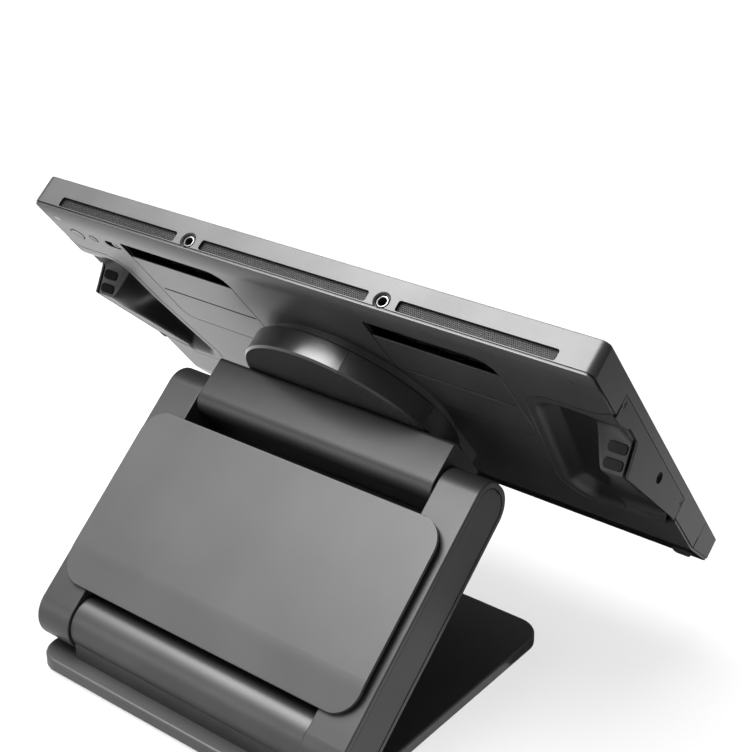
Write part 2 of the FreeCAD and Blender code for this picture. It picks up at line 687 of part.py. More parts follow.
def head_housing():
    z_front, z_back = HINGE_DEPTH - HUB_DEPTHS[1], HINGE_DEPTH - HEAD_BACK
    outline = [Vector(-HEAD_HALF_W, -HEAD_HALF_H, z_back), Vector(-HEAD_HALF_W, HEAD_HALF_H, z_back),
               Vector(-HEAD_HALF_W, HEAD_HALF_H, z_front), Vector(-HEAD_HALF_W, -HEAD_HALF_H, z_front)]
    outer = solid_from(rounded_polygon(outline, [HEAD_R, HEAD_R, 2.5, 2.5]), Vector(2 * HEAD_HALF_W, 0, 0))
    outer = outer.makeFillet(0.8, edges_at(outer, "X", -HEAD_HALF_W) + edges_at(outer, "X", HEAD_HALF_W))
    half_w, half_h = HEAD_HALF_W - 6, HEAD_HALF_H - 5
    hollow = box(-half_w, half_w, -half_h, half_h, z_back + 5, z_front - 4)
    bore = rod(SHAFT_R + RUNNING_GAP, Vector(-120, 0, 0), Vector(120, 0, 0))
    seam = box(-120, 120, HEAD_HALF_H - 0.6, HEAD_HALF_H + 1, z_front - 3.0, z_front - 2.5)
    return cut_all(outer, [hollow, bore, seam])


def friction_washers():
    washers = []
    for sign in SIDES.values():
        for step in range(6):
            start = sign * (60 + step * 4)
            ends = (Vector(start, 0, 0), Vector(start + sign * 2.5, 0, 0))
            washers.append(tube(13.5, SHAFT_R + RUNNING_GAP, *ends))
    return Part.makeCompound(washers)


# ---- Arm -------------------------------------------------------------------------------------
def ear_outline(x, inset):
    side, top, bottom = ARM_HALF_T - inset, EAR_TOP - inset, -ARM_HALF_T + inset
    points = [Vector(x, -side, bottom), Vector(x, side, bottom), Vector(x, side, top), Vector(x, -side, top)]
    low_r, top_r = side - 0.01, EAR_TOP_R - inset
    return rounded_polygon(points, [low_r, low_r, top_r, top_r])


def arm_end():
    """One side of the arm: a long casting with an ear at each hinge, open on its outer face."""
    body = solid_from(ear_outline(EAR_INNER, 0), Vector(ARM_HALF_W - EAR_INNER, 0, 0))
    pocket = solid_from(ear_outline(EAR_INNER + 5, END_COVER_INSET), Vector(40, 0, 0))
    rounded = body.makeFillet(1.2, edges_at(body, "X", ARM_HALF_W))
    rounded = rounded.makeFillet(0.8, edges_at(rounded, "X", EAR_INNER))
    holes = [rod(radius, Vector(100, 0, z), Vector(150, 0, z))
             for radius, z in ((SHAFT_R, ARM_LENGTH), (SWING_SHAFT_R, 0))]
    return cut_all(rounded, [pocket] + holes)


def arm_end_cover():
    cover = solid_from(ear_outline(ARM_HALF_W - 2.5, END_COVER_INSET + 0.5), Vector(2.3, 0, 0))
    return cover.makeFillet(0.6, edges_at(cover, "X", ARM_HALF_W - 0.2))


def arm_core():
    """Box beam between the two ends, open at the front for the cable and the front cover."""
    beam = box(-EAR_INNER, EAR_INNER, -ARM_HALF_T, ARM_HALF_T, CORE_BOTTOM, CORE_TOP)
    front = -ARM_HALF_T
    half_w = EAR_INNER - 4
    pocket = box(-half_w, half_w, front - 1, ARM_HALF_T - 4, CORE_BOTTOM + 4, CORE_TOP - 4)
    half_w = EAR_INNER - 2
    step = box(-half_w, half_w, front - 1, front + 2.2, CORE_BOTTOM + 2, CORE_TOP - 2)
    lip = box(-EAR_INNER, EAR_INNER, -ARM_HALF_T, -ARM_HALF_T + CORE_LIP_T, CORE_TOP - 1, ARM_LENGTH - 10)
    lip = lip.cut(rod(HEAD_SWEEP, Vector(-120, 0, ARM_LENGTH), Vector(120, 0, ARM_LENGTH)))
    return fuse_all([cut_all(beam, [pocket, step]), lip])


def arm_front_cover():
    half_w = EAR_INNER - 2.3
    plate = box(-half_w, half_w, -ARM_HALF_T, -ARM_HALF_T + 2, CORE_BOTTOM + 2.3, CORE_TOP - 2.3)
    return plate.makeFillet(0.5, edges_at(plate, "Y", -ARM_HALF_T))


def arm_rear_panel():
    """Raised cable panel: a plate on a narrower skirt, its lower end curved in."""
    low, top = PANEL_BOTTOM, PANEL_TOP
    skin_out = ARM_HALF_T + PANEL_STANDOFF + PANEL_T
    skin_in = ARM_HALF_T + PANEL_STANDOFF
    drop = 3.4
    side = [(skin_in, top, 0), (skin_out, top, 1.0), (skin_out, low + 24, 60), (skin_out - drop, low, 1.0),
            (skin_in - drop, low, 0), (skin_in, low + 24, 60)]
    points = [Vector(-PANEL_HALF_W, y, z) for y, z, radius in side]
    outline = rounded_polygon(points, [radius for y, z, radius in side])
    skin = solid_from(outline, Vector(2 * PANEL_HALF_W, 0, 0))
    places = ((-PANEL_HALF_W, low), (PANEL_HALF_W, low), (PANEL_HALF_W, top), (-PANEL_HALF_W, top))
    face = [Vector(x, 0, z) for x, z in places]
    skin = skin.common(solid_from(rounded_polygon(face, [PANEL_CORNER_R] * 4), Vector(0, 60, 0)))
    skirt = box(-PANEL_HALF_W + 8, PANEL_HALF_W - 8, ARM_HALF_T, skin_in + 0.5, CORE_BOTTOM + 12, top - 6)
    hollow = box(-PANEL_HALF_W + 11, PANEL_HALF_W - 11, ARM_HALF_T - 1, skin_in, CORE_BOTTOM + 15, top - 9)
    return fuse_all([skin, skirt]).cut(hollow)


def tilt_shaft():
    reach = EAR_INNER + 14
    return rod(SHAFT_R, Vector(-reach, 0, ARM_LENGTH), Vector(reach, 0, ARM_LENGTH))


def shaft_nuts():
    nuts = []
    for sign in SIDES.values():
        start = Vector(sign * (EAR_INNER + 6), 0, 0)
        nuts.append(tube(SWING_SHAFT_R + 3.5, SWING_SHAFT_R, start, start + Vector(sign * 6, 0, 0)))
    return Part.makeCompound(nuts)


def swing_shaft():
    reach = EAR_INNER + 14
    return rod(SWING_SHAFT_R, Vector(-reach, 0, 0), Vector(reach, 0, 0))


# ---- Base ------------------------------------------------------------------------------------
def base_cover():
    outer = rounded_box(-BASE_HALF_W, BASE_HALF_W, BASE_FRONT, BASE_REAR, FOOT_HEIGHT, BASE_TOP, BASE_R)
    outer = outer.makeFillet(2.0, edges_at(outer, "Z", BASE_TOP))
    hollow = rounded_box(-BASE_HALF_W + 3, BASE_HALF_W - 3, BASE_FRONT + 3, BASE_REAR - 3,
                         0, BASE_TOP - 2.5, BASE_R - 3)
    return cut_all(outer, [hollow] + base_screw_holes(2.6))


def base_weight():
    plate = rounded_box(-BASE_HALF_W + 3.2, BASE_HALF_W - 3.2, BASE_FRONT + 3.2, BASE_REAR - 3.2,
                        FOOT_HEIGHT + 0.3, BASE_TOP - 2.6, BASE_R - 3.2)
    return cut_all(plate, base_screw_holes(2.6))


def base_feet():
    feet = []
    for x in (-BASE_HALF_W + 22, BASE_HALF_W - 22):
        for y in (BASE_FRONT + 22, BASE_REAR - 22):
            feet.append(rod(11, Vector(x, y, 0), Vector(x, y, FOOT_HEIGHT + 0.3)))
    return Part.makeCompound(feet)


def base_screw_places():
    return [(x, SWING_Y + y) for x in (-80, 0, 80) for y in (-9, 9)]


def base_screw_holes(radius):
    return [rod(radius, Vector(x, y, 0), Vector(x, y, 19.6)) for x, y in base_screw_places()]


def base_screws():
    screws = []
    for x, y in base_screw_places():
        head = rod(4.4, Vector(x, y, 0.4), Vector(x, y, FOOT_HEIGHT + 0.3))
        shank = rod(2.5, Vector(x, y, FOOT_HEIGHT + 0.3), Vector(x, y, 19))
        screws.append(fuse_all([head, shank]))
    return Part.makeCompound(screws)


def hinge_barrel():
    """Housing of the swing hinge, standing on the base between the arm's lower ears."""
    left, right = Vector(-HEAD_HALF_W, SWING_Y, SWING_HEIGHT), Vector(HEAD_HALF_W, SWING_Y, SWING_HEIGHT)
    pedestal = box(-HEAD_HALF_W, HEAD_HALF_W, SWING_Y - 17, SWING_Y + 17, BASE_TOP, SWING_HEIGHT)
    body = fuse_all([rod(BARREL_R, left, right), pedestal])
    inset = Vector(6, 0, 0)
    tools = [rod(16, left + inset, right - inset),
             rod(SWING_SHAFT_R + RUNNING_GAP, left - inset, right + inset)]
    return cut_all(body, tools + base_screw_holes(2.5))


def lift_springs():
    """Two coil springs round the swing shaft; they help the arm up."""
    springs = []
    for sign in SIDES.values():
        pitch, height, coil_r, wire_r = 5.0, 45.0, 12.0, 1.7
        helix = Part.makeHelix(pitch, height, coil_r)
        section = Part.Wire(Part.makeCircle(wire_r, Vector(coil_r, 0, 0), Vector(0, 1, 0)))
        spring = Part.Wire(helix.Edges).makePipeShell([section], True, True)
        spring.rotate(Vector(0, 0, 0), Vector(0, 1, 0), 90)
        spring.translate(Vector(45 if sign > 0 else -90, SWING_Y, SWING_HEIGHT))
        springs.append(spring)
    return Part.makeCompound(springs)


# ---- Assembly --------------------------------------------------------------------------------
def display_parts():
    frame_upper, frame_rail = split_frame()
    parts = {
        "side_frame": frame_upper,
        "lower_frame_rail": frame_rail,
        "back_cover": back_cover(),
        "cover_glass": slab(-HALF_W + LIP + 0.1, HALF_W - LIP - 0.1, -HALF_H + LIP + 0.1, HALF_H - LIP - 0.1,
                            0, GLASS_T, CORNER_R - LIP - 0.1),
        "lcd_panel": inner_plate(WALL + 0.3, GLASS_T + 0.1, 6.0),
        "pen_sensor_board": inner_plate(WALL + 3, 6.1, 7.1),
        "heat_spreader": inner_plate(WALL + 4, 7.3, 8.3),
        "main_board": main_board(),
        "port_connectors": port_connectors(),
        "fan_housings": fan_housings(),
        "heat_sink": heat_sink(),
        "accessory_sockets": accessory_sockets(),
        "side_plate_screws": side_screws(),
        "power_button": button(*POWER_BUTTON),
        "settings_button": button(*SETTINGS_BUTTON),
        "touch_switch": touch_switch(),
        "sensor_windows": Part.makeCompound([window_block(x, y, 0) for x, y in WINDOWS]),
        "display_feet": Part.makeCompound(foot_pads()),
        "mount_plate": mount_plate(),
        "mount_screws": mount_screws(),
        "release_latch": release_latch(),
        "hub_retaining_ring": hub_retaining_ring(),
    }
    for name, (low, high) in VENT_SPANS.items():
        back = HALF_H - GRILLE_RECESS - GRILLE_T
        parts["vent_grille_" + name] = vent_prism(low, high, back, back + GRILLE_T, 0.05)
    for name, sign in SIDES.items():
        parts["side_plate_" + name] = on_side(side_plate(), sign)
        parts["grip_tray_" + name] = grip_tray(name)
        parts["grip_pod_" + name] = grip_pod(name)
        parts["port_cover_" + name] = port_cover(name)
        parts["fan_rotor_" + name] = fan_rotor(sign)
        for row, depth in KEY_DEPTHS.items():
            parts["express_key_" + name + "_" + row] = on_side(express_key(depth), sign)
    return parts


def head_parts():
    return {
        "hub_disc": hub_disc(),
        "hub_side_cover": hub_side_cover(),
        "hub_pivot_plate": hub_pivot_plate(),
        "head_housing": head_housing(),
        "friction_washers": friction_washers(),
    }


def arm_parts():
    parts = {
        "arm_core": arm_core(),
        "arm_front_cover": arm_front_cover(),
        "arm_rear_panel": arm_rear_panel(),
        "tilt_shaft": tilt_shaft(),
        "swing_shaft": swing_shaft(),
        "shaft_nuts": shaft_nuts(),
    }
    for name, sign in SIDES.items():
        parts["arm_end_" + name] = on_side(arm_end(), sign)
        parts["arm_end_cover_" + name] = on_side(arm_end_cover(), sign)
    return parts


def base_parts():
    return {
        "base_cover": base_cover(),
        "base_weight": base_weight(),
        "base_feet": base_feet(),
        "base_screws": base_screws(),
        "hinge_barrel": hinge_barrel(),
        "lift_springs": lift_springs(),
    }


def place(shape, angle, origin):
    placed = shape.copy()
    placed.rotate(Vector(0, 0, 0), X_AXIS, angle)
    placed.translate(origin)
    return placed


def main():
    os.makedirs("parts", exist_ok=True)
    groups = (
        (display_parts(), TILT_ANGLE, TILT_AXIS),
        (head_parts(), TILT_ANGLE, TILT_AXIS),
        (arm_parts(), ARM_LEAN, SWING_AXIS),
        (base_parts(), 0.0, Vector(0, 0, 0)),
    )
    for parts, angle, origin in groups:
        for name, shape in parts.items():
            placed = place(shape, angle, origin)
            valid = placed.isValid() and all(solid.isClosed() for solid in placed.Solids)
            print(name, len(placed.Solids), round(placed.Volume / 1000, 2), "cm3", "ok" if valid else "BAD")
            placed.exportStep("parts/" + name + ".step")


main()
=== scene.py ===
import json
import math

import bmesh
import bpy
import numpy as np
from mathutils import Matrix, Vector

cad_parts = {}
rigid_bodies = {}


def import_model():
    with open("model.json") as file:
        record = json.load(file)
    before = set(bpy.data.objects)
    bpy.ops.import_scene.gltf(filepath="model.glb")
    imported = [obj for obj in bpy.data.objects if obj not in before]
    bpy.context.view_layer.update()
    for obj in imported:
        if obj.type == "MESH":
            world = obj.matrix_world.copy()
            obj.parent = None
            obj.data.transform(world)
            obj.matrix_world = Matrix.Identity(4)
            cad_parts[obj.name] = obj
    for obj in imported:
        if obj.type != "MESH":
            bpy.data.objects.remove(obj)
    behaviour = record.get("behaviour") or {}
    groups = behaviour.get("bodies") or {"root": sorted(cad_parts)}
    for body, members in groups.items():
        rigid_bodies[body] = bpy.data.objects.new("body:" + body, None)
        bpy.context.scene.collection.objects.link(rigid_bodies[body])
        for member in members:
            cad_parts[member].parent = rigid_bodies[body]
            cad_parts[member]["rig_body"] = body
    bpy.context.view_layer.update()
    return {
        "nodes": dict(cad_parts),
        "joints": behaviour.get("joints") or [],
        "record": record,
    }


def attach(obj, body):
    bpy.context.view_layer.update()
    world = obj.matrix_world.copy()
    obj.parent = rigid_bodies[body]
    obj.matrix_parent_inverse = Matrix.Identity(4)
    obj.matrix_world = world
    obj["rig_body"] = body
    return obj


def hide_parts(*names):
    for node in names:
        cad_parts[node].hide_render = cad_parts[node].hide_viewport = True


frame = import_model()
NODES = frame["nodes"]

# ---- Frame ---------------------------------------------------------------------------------------
# The display frame lies on the tilt hinge, in millimetres: x across, y up the glass, z out of it.
MM = 0.001
JOINTS = {joint["name"]: joint for joint in frame["joints"]}
ACROSS = Vector((1, 0, 0))


def frame_matrix(origin, z_axis):
    z_axis = z_axis.normalized()
    y_axis = z_axis.cross(ACROSS)
    rotation = Matrix((ACROSS, y_axis, z_axis)).transposed().to_4x4()
    return Matrix.Translation(origin) @ rotation @ Matrix.Scale(MM, 4)


TILT_AXIS = Vector(JOINTS["display_tilt"]["pos_m"])
DISPLAY = frame_matrix(TILT_AXIS, Vector(JOINTS["hub_turn"]["axis"]))
HINGE_DEPTH = 72.0


# ---- Node materials ------------------------------------------------------------------------------
NOISE_ROUGHNESS = 0.55
NOISE_LOW, NOISE_HIGH = 0.3, 0.7     # most of a noise's values lie between these


class Shader:
    """Small helper that builds one node material."""

    def __init__(self, name):
        self.material = bpy.data.materials.new(name)
        self.material.use_nodes = True
        self.tree = self.material.node_tree
        self.tree.nodes.clear()
        output = self.node("ShaderNodeOutputMaterial")
        self.surface = self.node("ShaderNodeBsdfPrincipled")
        self.link(self.surface, "BSDF", output, "Surface")
        self.coordinates = self.node("ShaderNodeTexCoord")

    @classmethod
    def of(cls, material):
        """The helper again for a material that it has made."""
        shader = cls.__new__(cls)
        shader.material = material
        shader.tree = material.node_tree
        nodes = {node.bl_idname: node for node in shader.tree.nodes}
        shader.surface = nodes["ShaderNodeBsdfPrincipled"]
        shader.coordinates = nodes["ShaderNodeTexCoord"]
        return shader

    def node(self, kind, **values):
        made = self.tree.nodes.new(kind)
        for key, value in values.items():
            setattr(made, key, value)
        return made

    def link(self, source, output, target, socket):
        self.tree.links.new(source.outputs[output], target.inputs[socket])

    def set(self, **values):
        for key, value in values.items():
            self.surface.inputs[key.replace("_", " ")].default_value = value

    def noise(self, scale, detail=3.0, stretch=None):
        """Noise in object space; scale is in features per metre."""
        noise = self.node("ShaderNodeTexNoise")
        noise.inputs["Scale"].default_value = scale
        noise.inputs["Detail"].default_value = detail
        noise.inputs["Roughness"].default_value = NOISE_ROUGHNESS
        if stretch is None:
            self.link(self.coordinates, "Object", noise, "Vector")
        else:
            mapping = self.node("ShaderNodeMapping")
            mapping.inputs["Scale"].default_value = stretch
            self.link(self.coordinates, "Object", mapping, "Vector")
            self.link(mapping, "Vector", noise, "Vector")
        return noise

    def remap(self, noise, low, high):
        """The noise's middle range stretched to low..high."""
        remap = self.node("ShaderNodeMapRange")
        remap.inputs["From Min"].default_value = NOISE_LOW
        remap.inputs["From Max"].default_value = NOISE_HIGH
        remap.inputs["To Min"].default_value = low
        remap.inputs["To Max"].default_value = high
        self.link(noise, "Fac", remap, "Value")
        return remap

    def tone(self, noise, dark, light):
        """Base colour between two colours, mixed by a noise."""
        mix = self.node("ShaderNodeMix", data_type="RGBA")
        mix.inputs["A"].default_value = (*dark, 1.0)
        mix.inputs["B"].default_value = (*light, 1.0)
        self.link(self.remap(noise, 0.0, 1.0), "Result", mix, "Factor")
        self.link(mix, "Result", self.surface, "Base Color")

    def roughness(self, noise, middle, spread):
        self.link(self.remap(noise, middle - spread, middle + spread), "Result", self.surface, "Roughness")

    def bump(self, noise, strength, distance):
        bump = self.node("ShaderNodeBump")
        bump.inputs["Strength"].default_value = strength
        bump.inputs["Distance"].default_value = distance
        self.link(noise, "Fac", bump, "Height")
        self.link(bump, "Normal", self.surface, "Normal")

    def along(self, axis, near, far, both_ways=False):
        """0 at one place along an axis of the display (in mm), 1 at the other."""
        direction = DISPLAY.to_3x3().normalized().col[axis]
        place = self.node("ShaderNodeVectorMath", operation="DOT_PRODUCT")
        place.inputs[1].default_value = direction
        self.link(self.coordinates, "Object", place, 0)
        source, zero = place.outputs["Value"], TILT_AXIS.dot(direction)
        if both_ways:
            positive = self.node("ShaderNodeMath", operation="ABSOLUTE")
            self.tree.links.new(source, positive.inputs[0])
            source = positive.outputs["Value"]
        share = self.node("ShaderNodeMapRange")
        share.inputs["From Min"].default_value = zero + near * MM
        share.inputs["From Max"].default_value = zero + far * MM
        self.tree.links.new(source, share.inputs["Value"])
        return share.outputs["Result"]

    def behind_glass(self, near, far):
        """0 at one depth behind the glass, 1 at the other."""
        return self.along(2, HINGE_DEPTH - near, HINGE_DEPTH - far)

    def calculate(self, operation, a, b):
        """One step of arithmetic; a and b are output sockets or numbers with a decimal point."""
        made = self.node("ShaderNodeMath", operation=operation)
        for socket, value in zip(made.inputs, (a, b)):
            if isinstance(value, float):
                socket.default_value = value
            else:
                self.tree.links.new(value, socket)
        return made.outputs["Value"]

    def crown(self, start_y, edge_y, slope):
        """Faint roll-off between two heights up the display, under the surface's own grain."""
        square = self.calculate("POWER", self.along(1, start_y, edge_y), 2.0)
        roll = self.node("ShaderNodeBump", invert=True)
        roll.inputs["Strength"].default_value = 1.0
        roll.inputs["Distance"].default_value = slope * (edge_y - start_y) * MM / 2
        self.tree.links.new(square, roll.inputs["Height"])
        grain = [node for node in self.tree.nodes if node.bl_idname == "ShaderNodeBump" and node != roll][0]
        self.link(roll, "Normal", grain, "Normal")

    def darken(self, mask, shade):
        """Base colour multiplied by a shade where the mask is 0, and left alone where it is 1."""
        socket = self.surface.inputs["Base Color"]
        before = socket.links[0].from_socket
        product = self.node("ShaderNodeMix", data_type="RGBA", blend_type="MULTIPLY")
        product.inputs["Factor"].default_value = 1.0
        share = self.node("ShaderNodeMapRange")
        share.inputs["To Min"].default_value = shade
        self.tree.links.new(mask, share.inputs["Value"])
        self.tree.links.new(before, product.inputs["A"])
        self.tree.links.new(share.outputs["Result"], product.inputs["B"])
        self.tree.links.new(product.outputs["Result"], socket)


def grey(value):
    return (value, value, value)


CLOUDS_PER_M, CLOUD_DETAIL = 14.0, 4.0
GRAIN_DETAIL, GRAIN_STRENGTH = 2.0, 0.35
LINES_PER_M, LINE_STRENGTH, LINE_DEPTH = 900.0, 0.3, 0.00001
LINE_DARK, LINE_LIGHT = 0.8, 1.15        # tones of the lines, as shares of the metal's own
LINE_ROUGH_SPREAD = 0.06
SPECKLES_PER_M, SPECKLE_DETAIL = 1200.0, 4.0
SPECKLE_STRENGTH, SPECKLE_DEPTH = 0.2, 0.00003


def coated(name, value, roughness, metallic=0.0, grain=2600.0, grain_depth=0.00002, spread=0.12, gloss=0.5,
           rough_spread=0.05):
    """Painted, moulded or anodised surface: soft clouds of tone over a fine grain."""
    shader = Shader(name)
    shader.set(Metallic=metallic, Specular_IOR_Level=gloss)
    clouds = shader.noise(CLOUDS_PER_M, CLOUD_DETAIL)
    shader.tone(clouds, grey(value * (1 - spread)), grey(value * (1 + spread)))
    fine = shader.noise(grain, GRAIN_DETAIL)
    shader.roughness(fine, roughness, rough_spread)
    shader.bump(fine, GRAIN_STRENGTH, grain_depth)
    return shader.material


def brushed(name, value, roughness, stretch):
    """Bare metal with fine parallel lines."""
    shader = Shader(name)
    shader.set(Metallic=1.0)
    lines = shader.noise(LINES_PER_M, stretch=stretch)
    shader.tone(lines, grey(value * LINE_DARK), grey(value * LINE_LIGHT))
    shader.roughness(lines, roughness, LINE_ROUGH_SPREAD)
    shader.bump(lines, LINE_STRENGTH, LINE_DEPTH)
    return shader.material


def tinted(name, dark, light, roughness):
    """Coloured board or panel with speckled tone."""
    shader = Shader(name)
    speckle = shader.noise(SPECKLES_PER_M, SPECKLE_DETAIL)
    shader.tone(speckle, dark, light)
    shader.set(Roughness=roughness)
    shader.bump(speckle, SPECKLE_STRENGTH, SPECKLE_DEPTH)
    return shader.material


HALF_W, HALF_H = 241.0, 145.5
CROWN_Y = 120.0              # the back rolls off towards its top edge from this line
CROWN_SLOPE = 0.4
BAY_DEPTHS = (23.2, 23.9)    # painted shade: a port bay goes from the back's colour to black between these depths
BAY_PAINTED_SHADE = 0.06
BOWL_DEPTHS = (20.9, 23.7)   # painted shade turns the lip of a grip black between these depths too
BOWL_PAINTED_SHADE = 0.22
RIDGE_FOOT_Y = (-32.0, -50.0)        # the ridge's painted shade gives way to the lip's colour on the way down
KEY_HIGHLIGHT_X = (214.0, 223.0)          # and, as a painted highlight, towards the keys, outwards and upwards
KEY_HIGHLIGHT_Y = (-20.0, 36.0)
KEY_HIGHLIGHT_SHARE = 0.9
SCREEN = (237.5, 134.0)      # half width and half height
SCREEN_BLUR = 0.2
BORDER_SHADE = 0.3


def back_coat():
    """Satin coat of the back, with painted shade blackening the port bays inside."""
    material = coated("back_shell", 0.045, 0.33, metallic=0.25)
    shader = Shader.of(material)
    # painted shade: black deeper in the port bays
    shader.darken(shader.behind_glass(*BAY_DEPTHS), BAY_PAINTED_SHADE)
    shader.crown(CROWN_Y, HALF_H, CROWN_SLOPE)
    return material


def lip_coat():
    """The back's coat, which painted shade turns black down the lip of a grip."""
    material = coated("grip_lip", 0.045, 0.33, metallic=0.25)
    shader = Shader.of(material)
    # painted shade: the lip turns black deeper in the grip
    shader.darken(shader.behind_glass(*BOWL_DEPTHS), BOWL_PAINTED_SHADE)
    return material


def grip_coat():
    """Inside of a grip, blackened with painted shade, lighter round the keys as a painted highlight and where
    the ridge runs out into the lip.
    """
    material = coated("grip_inside", 0.045, 0.4, metallic=0.2, grain=1800.0, grain_depth=0.00003, gloss=0.38)
    shader = Shader.of(material)
    # painted shade over the whole inside, lifted near the foot of the ridge and, as a painted highlight,
    # round the keys
    foot = shader.calculate("MULTIPLY", shader.along(1, *RIDGE_FOOT_Y), shader.behind_glass(*BOWL_DEPTHS))
    outwards = shader.along(0, *KEY_HIGHLIGHT_X, both_ways=True)
    keys = shader.calculate("MULTIPLY", outwards, shader.along(1, *KEY_HIGHLIGHT_Y))
    light = shader.calculate("MAXIMUM", foot, shader.calculate("MULTIPLY", keys, KEY_HIGHLIGHT_SHARE))
    shader.darken(light, BOWL_PAINTED_SHADE)
    return material


def screen_glass():
    """Etched glass, darker in the border round the screen."""
    material = coated("cover_glass", 0.011, 0.26, grain=4200, grain_depth=0.000004, rough_spread=0.03)
    shader = Shader.of(material)
    half_w, half_h = SCREEN
    across = shader.along(0, half_w + SCREEN_BLUR, half_w - SCREEN_BLUR, both_ways=True)
    up = shader.along(1, half_h + SCREEN_BLUR, half_h - SCREEN_BLUR)
    down = shader.along(1, -half_h - SCREEN_BLUR, -half_h + SCREEN_BLUR)
    inside = shader.calculate("MULTIPLY", across, shader.calculate("MULTIPLY", up, down))
    shader.darken(inside, BORDER_SHADE)
    return material


MATERIALS = {
    "frame_metal": coated("frame_metal", 0.066, 0.45, metallic=0.75),
    "back_shell": back_coat(),
    "grip_plastic": grip_coat(),
    "key_gloss": coated("key_gloss", 0.004, 0.2, grain=900, grain_depth=0.000005, gloss=0.12,
                        rough_spread=0.02),
    "cover_glass": screen_glass(),
    "lcd": tinted("lcd", grey(0.010), grey(0.016), 0.3),
    "board": tinted("board", (0.004, 0.05, 0.02), (0.01, 0.09, 0.035), 0.5),
    "heat_aluminium": brushed("heat_aluminium", 0.6, 0.32, (1, 40, 1)),
    "connector_steel": brushed("connector_steel", 0.06, 0.4, (1, 1, 30)),
    "fan_plastic": coated("fan_plastic", 0.012, 0.5),
    "black_screws": coated("black_screws", 0.03, 0.35, metallic=0.6),
    "grille_metal": coated("grille_metal", 0.025, 0.5, metallic=0.3, gloss=0.3),
    "rubber": coated("rubber", 0.014, 0.75, grain=1500, grain_depth=0.00005, gloss=0.3),
    "mount_metal": coated("mount_metal", 0.08, 0.4, metallic=0.4),
    "bright_steel": brushed("bright_steel", 0.6, 0.25, (30, 1, 1)),
    "hub_metal": coated("hub_metal", 0.06, 0.24, metallic=0.75, grain_depth=0.000001, rough_spread=0.02),
    "stand_metal": coated("stand_metal", 0.05, 0.42, metallic=0.5),
    "stand_plastic": coated("stand_plastic", 0.03, 0.5),
    "panel_paint": coated("panel_paint", 0.05, 0.42),
    "base_paint": coated("base_paint", 0.04, 0.45),
    "base_steel": brushed("base_steel", 0.35, 0.45, (1, 20, 1)),
}

SLOTS = {row["node"]: row["material_slot"] for row in frame["record"]["subparts"]}
for name, node in NODES.items():
    node.data.materials.clear()
    node.data.materials.append(MATERIALS[SLOTS[name]])

FINISHES = {                 # nodes whose finish differs a little from their slot's, and the head's painted shade
    "sensor_windows": coated("window_gloss", 0.05, 0.22, metallic=0.25, grain_depth=0.000004),
    "touch_switch": coated("switch_coat", 0.07, 0.33, metallic=0.25),
    "hub_side_cover": coated("hub_cover_coat", 0.035, 0.38, metallic=0.6),
    # painted shade: the head is a darker copy of the stand's metal, where the display shades it
    "head_housing": coated("head_painted_shade", 0.04, 0.42, metallic=0.5),
}
for name, material in FINISHES.items():
    NODES[name].data.materials[0] = material
SIDE_PLATE_COAT = coated("side_plate_coat", 0.028, 0.45, metallic=0.5)
RIB_METAL = coated("vent_ribs", 0.75, 0.45, metallic=0.2, spread=0.15)
SOCKET_STEEL = brushed("socket_steel", 0.24, 0.35, (30, 1, 1))
SLIT_PAINTED_SHADE = coated("slit_painted_shade", 0.003, 0.6, gloss=0.1)
LIP_COAT = lip_coat()


# ---- Mesh tools ----------------------------------------------------------------------------------
WELD_GAP = 0.000002          # points nearer than this, in metres, become one
RING_STEPS, RING_SHARP_ANGLE = 48, 35
FLAT_WEIGHT = 100
BEVEL_STEPS = 2


def mesh_object(name, vertices, faces, material=None):
    mesh = bpy.data.meshes.new(name)
    mesh.from_pydata([tuple(v) for v in vertices], [], faces)
    made = bpy.data.objects.new(name, mesh)
    bpy.context.scene.collection.objects.link(made)
    if material is not None:
        mesh.materials.append(material)
    return made


def placed(piece, matrix, angle=None):
    """Bring a drawn mesh into the shared frame, faces outwards; angle is where edges turn sharp."""
    mesh = piece.data
    mesh.transform(matrix)
    build = bmesh.new()
    build.from_mesh(mesh)
    bmesh.ops.remove_doubles(build, verts=build.verts, dist=WELD_GAP)
    bmesh.ops.recalc_face_normals(build, faces=build.faces)
    build.to_mesh(mesh)
    build.free()
    if angle is not None:
        mesh.shade_smooth()
        mesh.set_sharp_from_angle(angle=math.radians(angle))
    return piece


def rounded_outline(corners, step):
    """Closed outline from (x, y, corner radius), each corner an arc with a point every step degrees."""
    points = []
    count = len(corners)
    for index, (x, y, radius) in enumerate(corners):
        corner = Vector((x, y))
        back = (Vector(corners[index - 1][:2]) - corner).normalized()
        ahead = (Vector(corners[(index + 1) % count][:2]) - corner).normalized()
        if radius <= 0:
            points.append(corner)
            continue
        half = back.angle(ahead) / 2
        centre = corner + (back + ahead).normalized() * radius / math.sin(half)
        start = corner + back * radius / math.tan(half) - centre
        stop = corner + ahead * radius / math.tan(half) - centre
        sweep = math.atan2(start.x * stop.y - start.y * stop.x, start.dot(stop))
        steps = max(2, math.ceil(abs(math.degrees(sweep)) / step))
        for turn in range(steps + 1):
            angle = sweep * turn / steps
            points.append(centre + Vector((start.x * math.cos(angle) - start.y * math.sin(angle),
                                           start.x * math.sin(angle) + start.y * math.cos(angle))))
    return points


def grown(points, amount):
    """The same closed outline moved outwards along its normals, or inwards by less than nothing."""
    area = sum(a.x * b.y - b.x * a.y for a, b in zip(points, points[1:] + points[:1]))
    amount *= math.copysign(1, area)
    moved = []
    for index, point in enumerate(points):
        tangent = (points[(index + 1) % len(points)] - points[index - 1]).normalized()
        moved.append(point + Vector((tangent.y, -tangent.x)) * amount)
    return moved


def extruded(name, points, low, high, matrix):
    """Closed prism on a plane outline, from low to high along the third axis."""
    count = len(points)
    vertices = [(p.x, p.y, low) for p in points] + [(p.x, p.y, high) for p in points]
    faces = [tuple(range(count)), tuple(range(count, 2 * count))]
    faces += [(i, (i + 1) % count, count + (i + 1) % count, count + i) for i in range(count)]
    return placed(mesh_object(name, vertices, faces), matrix)


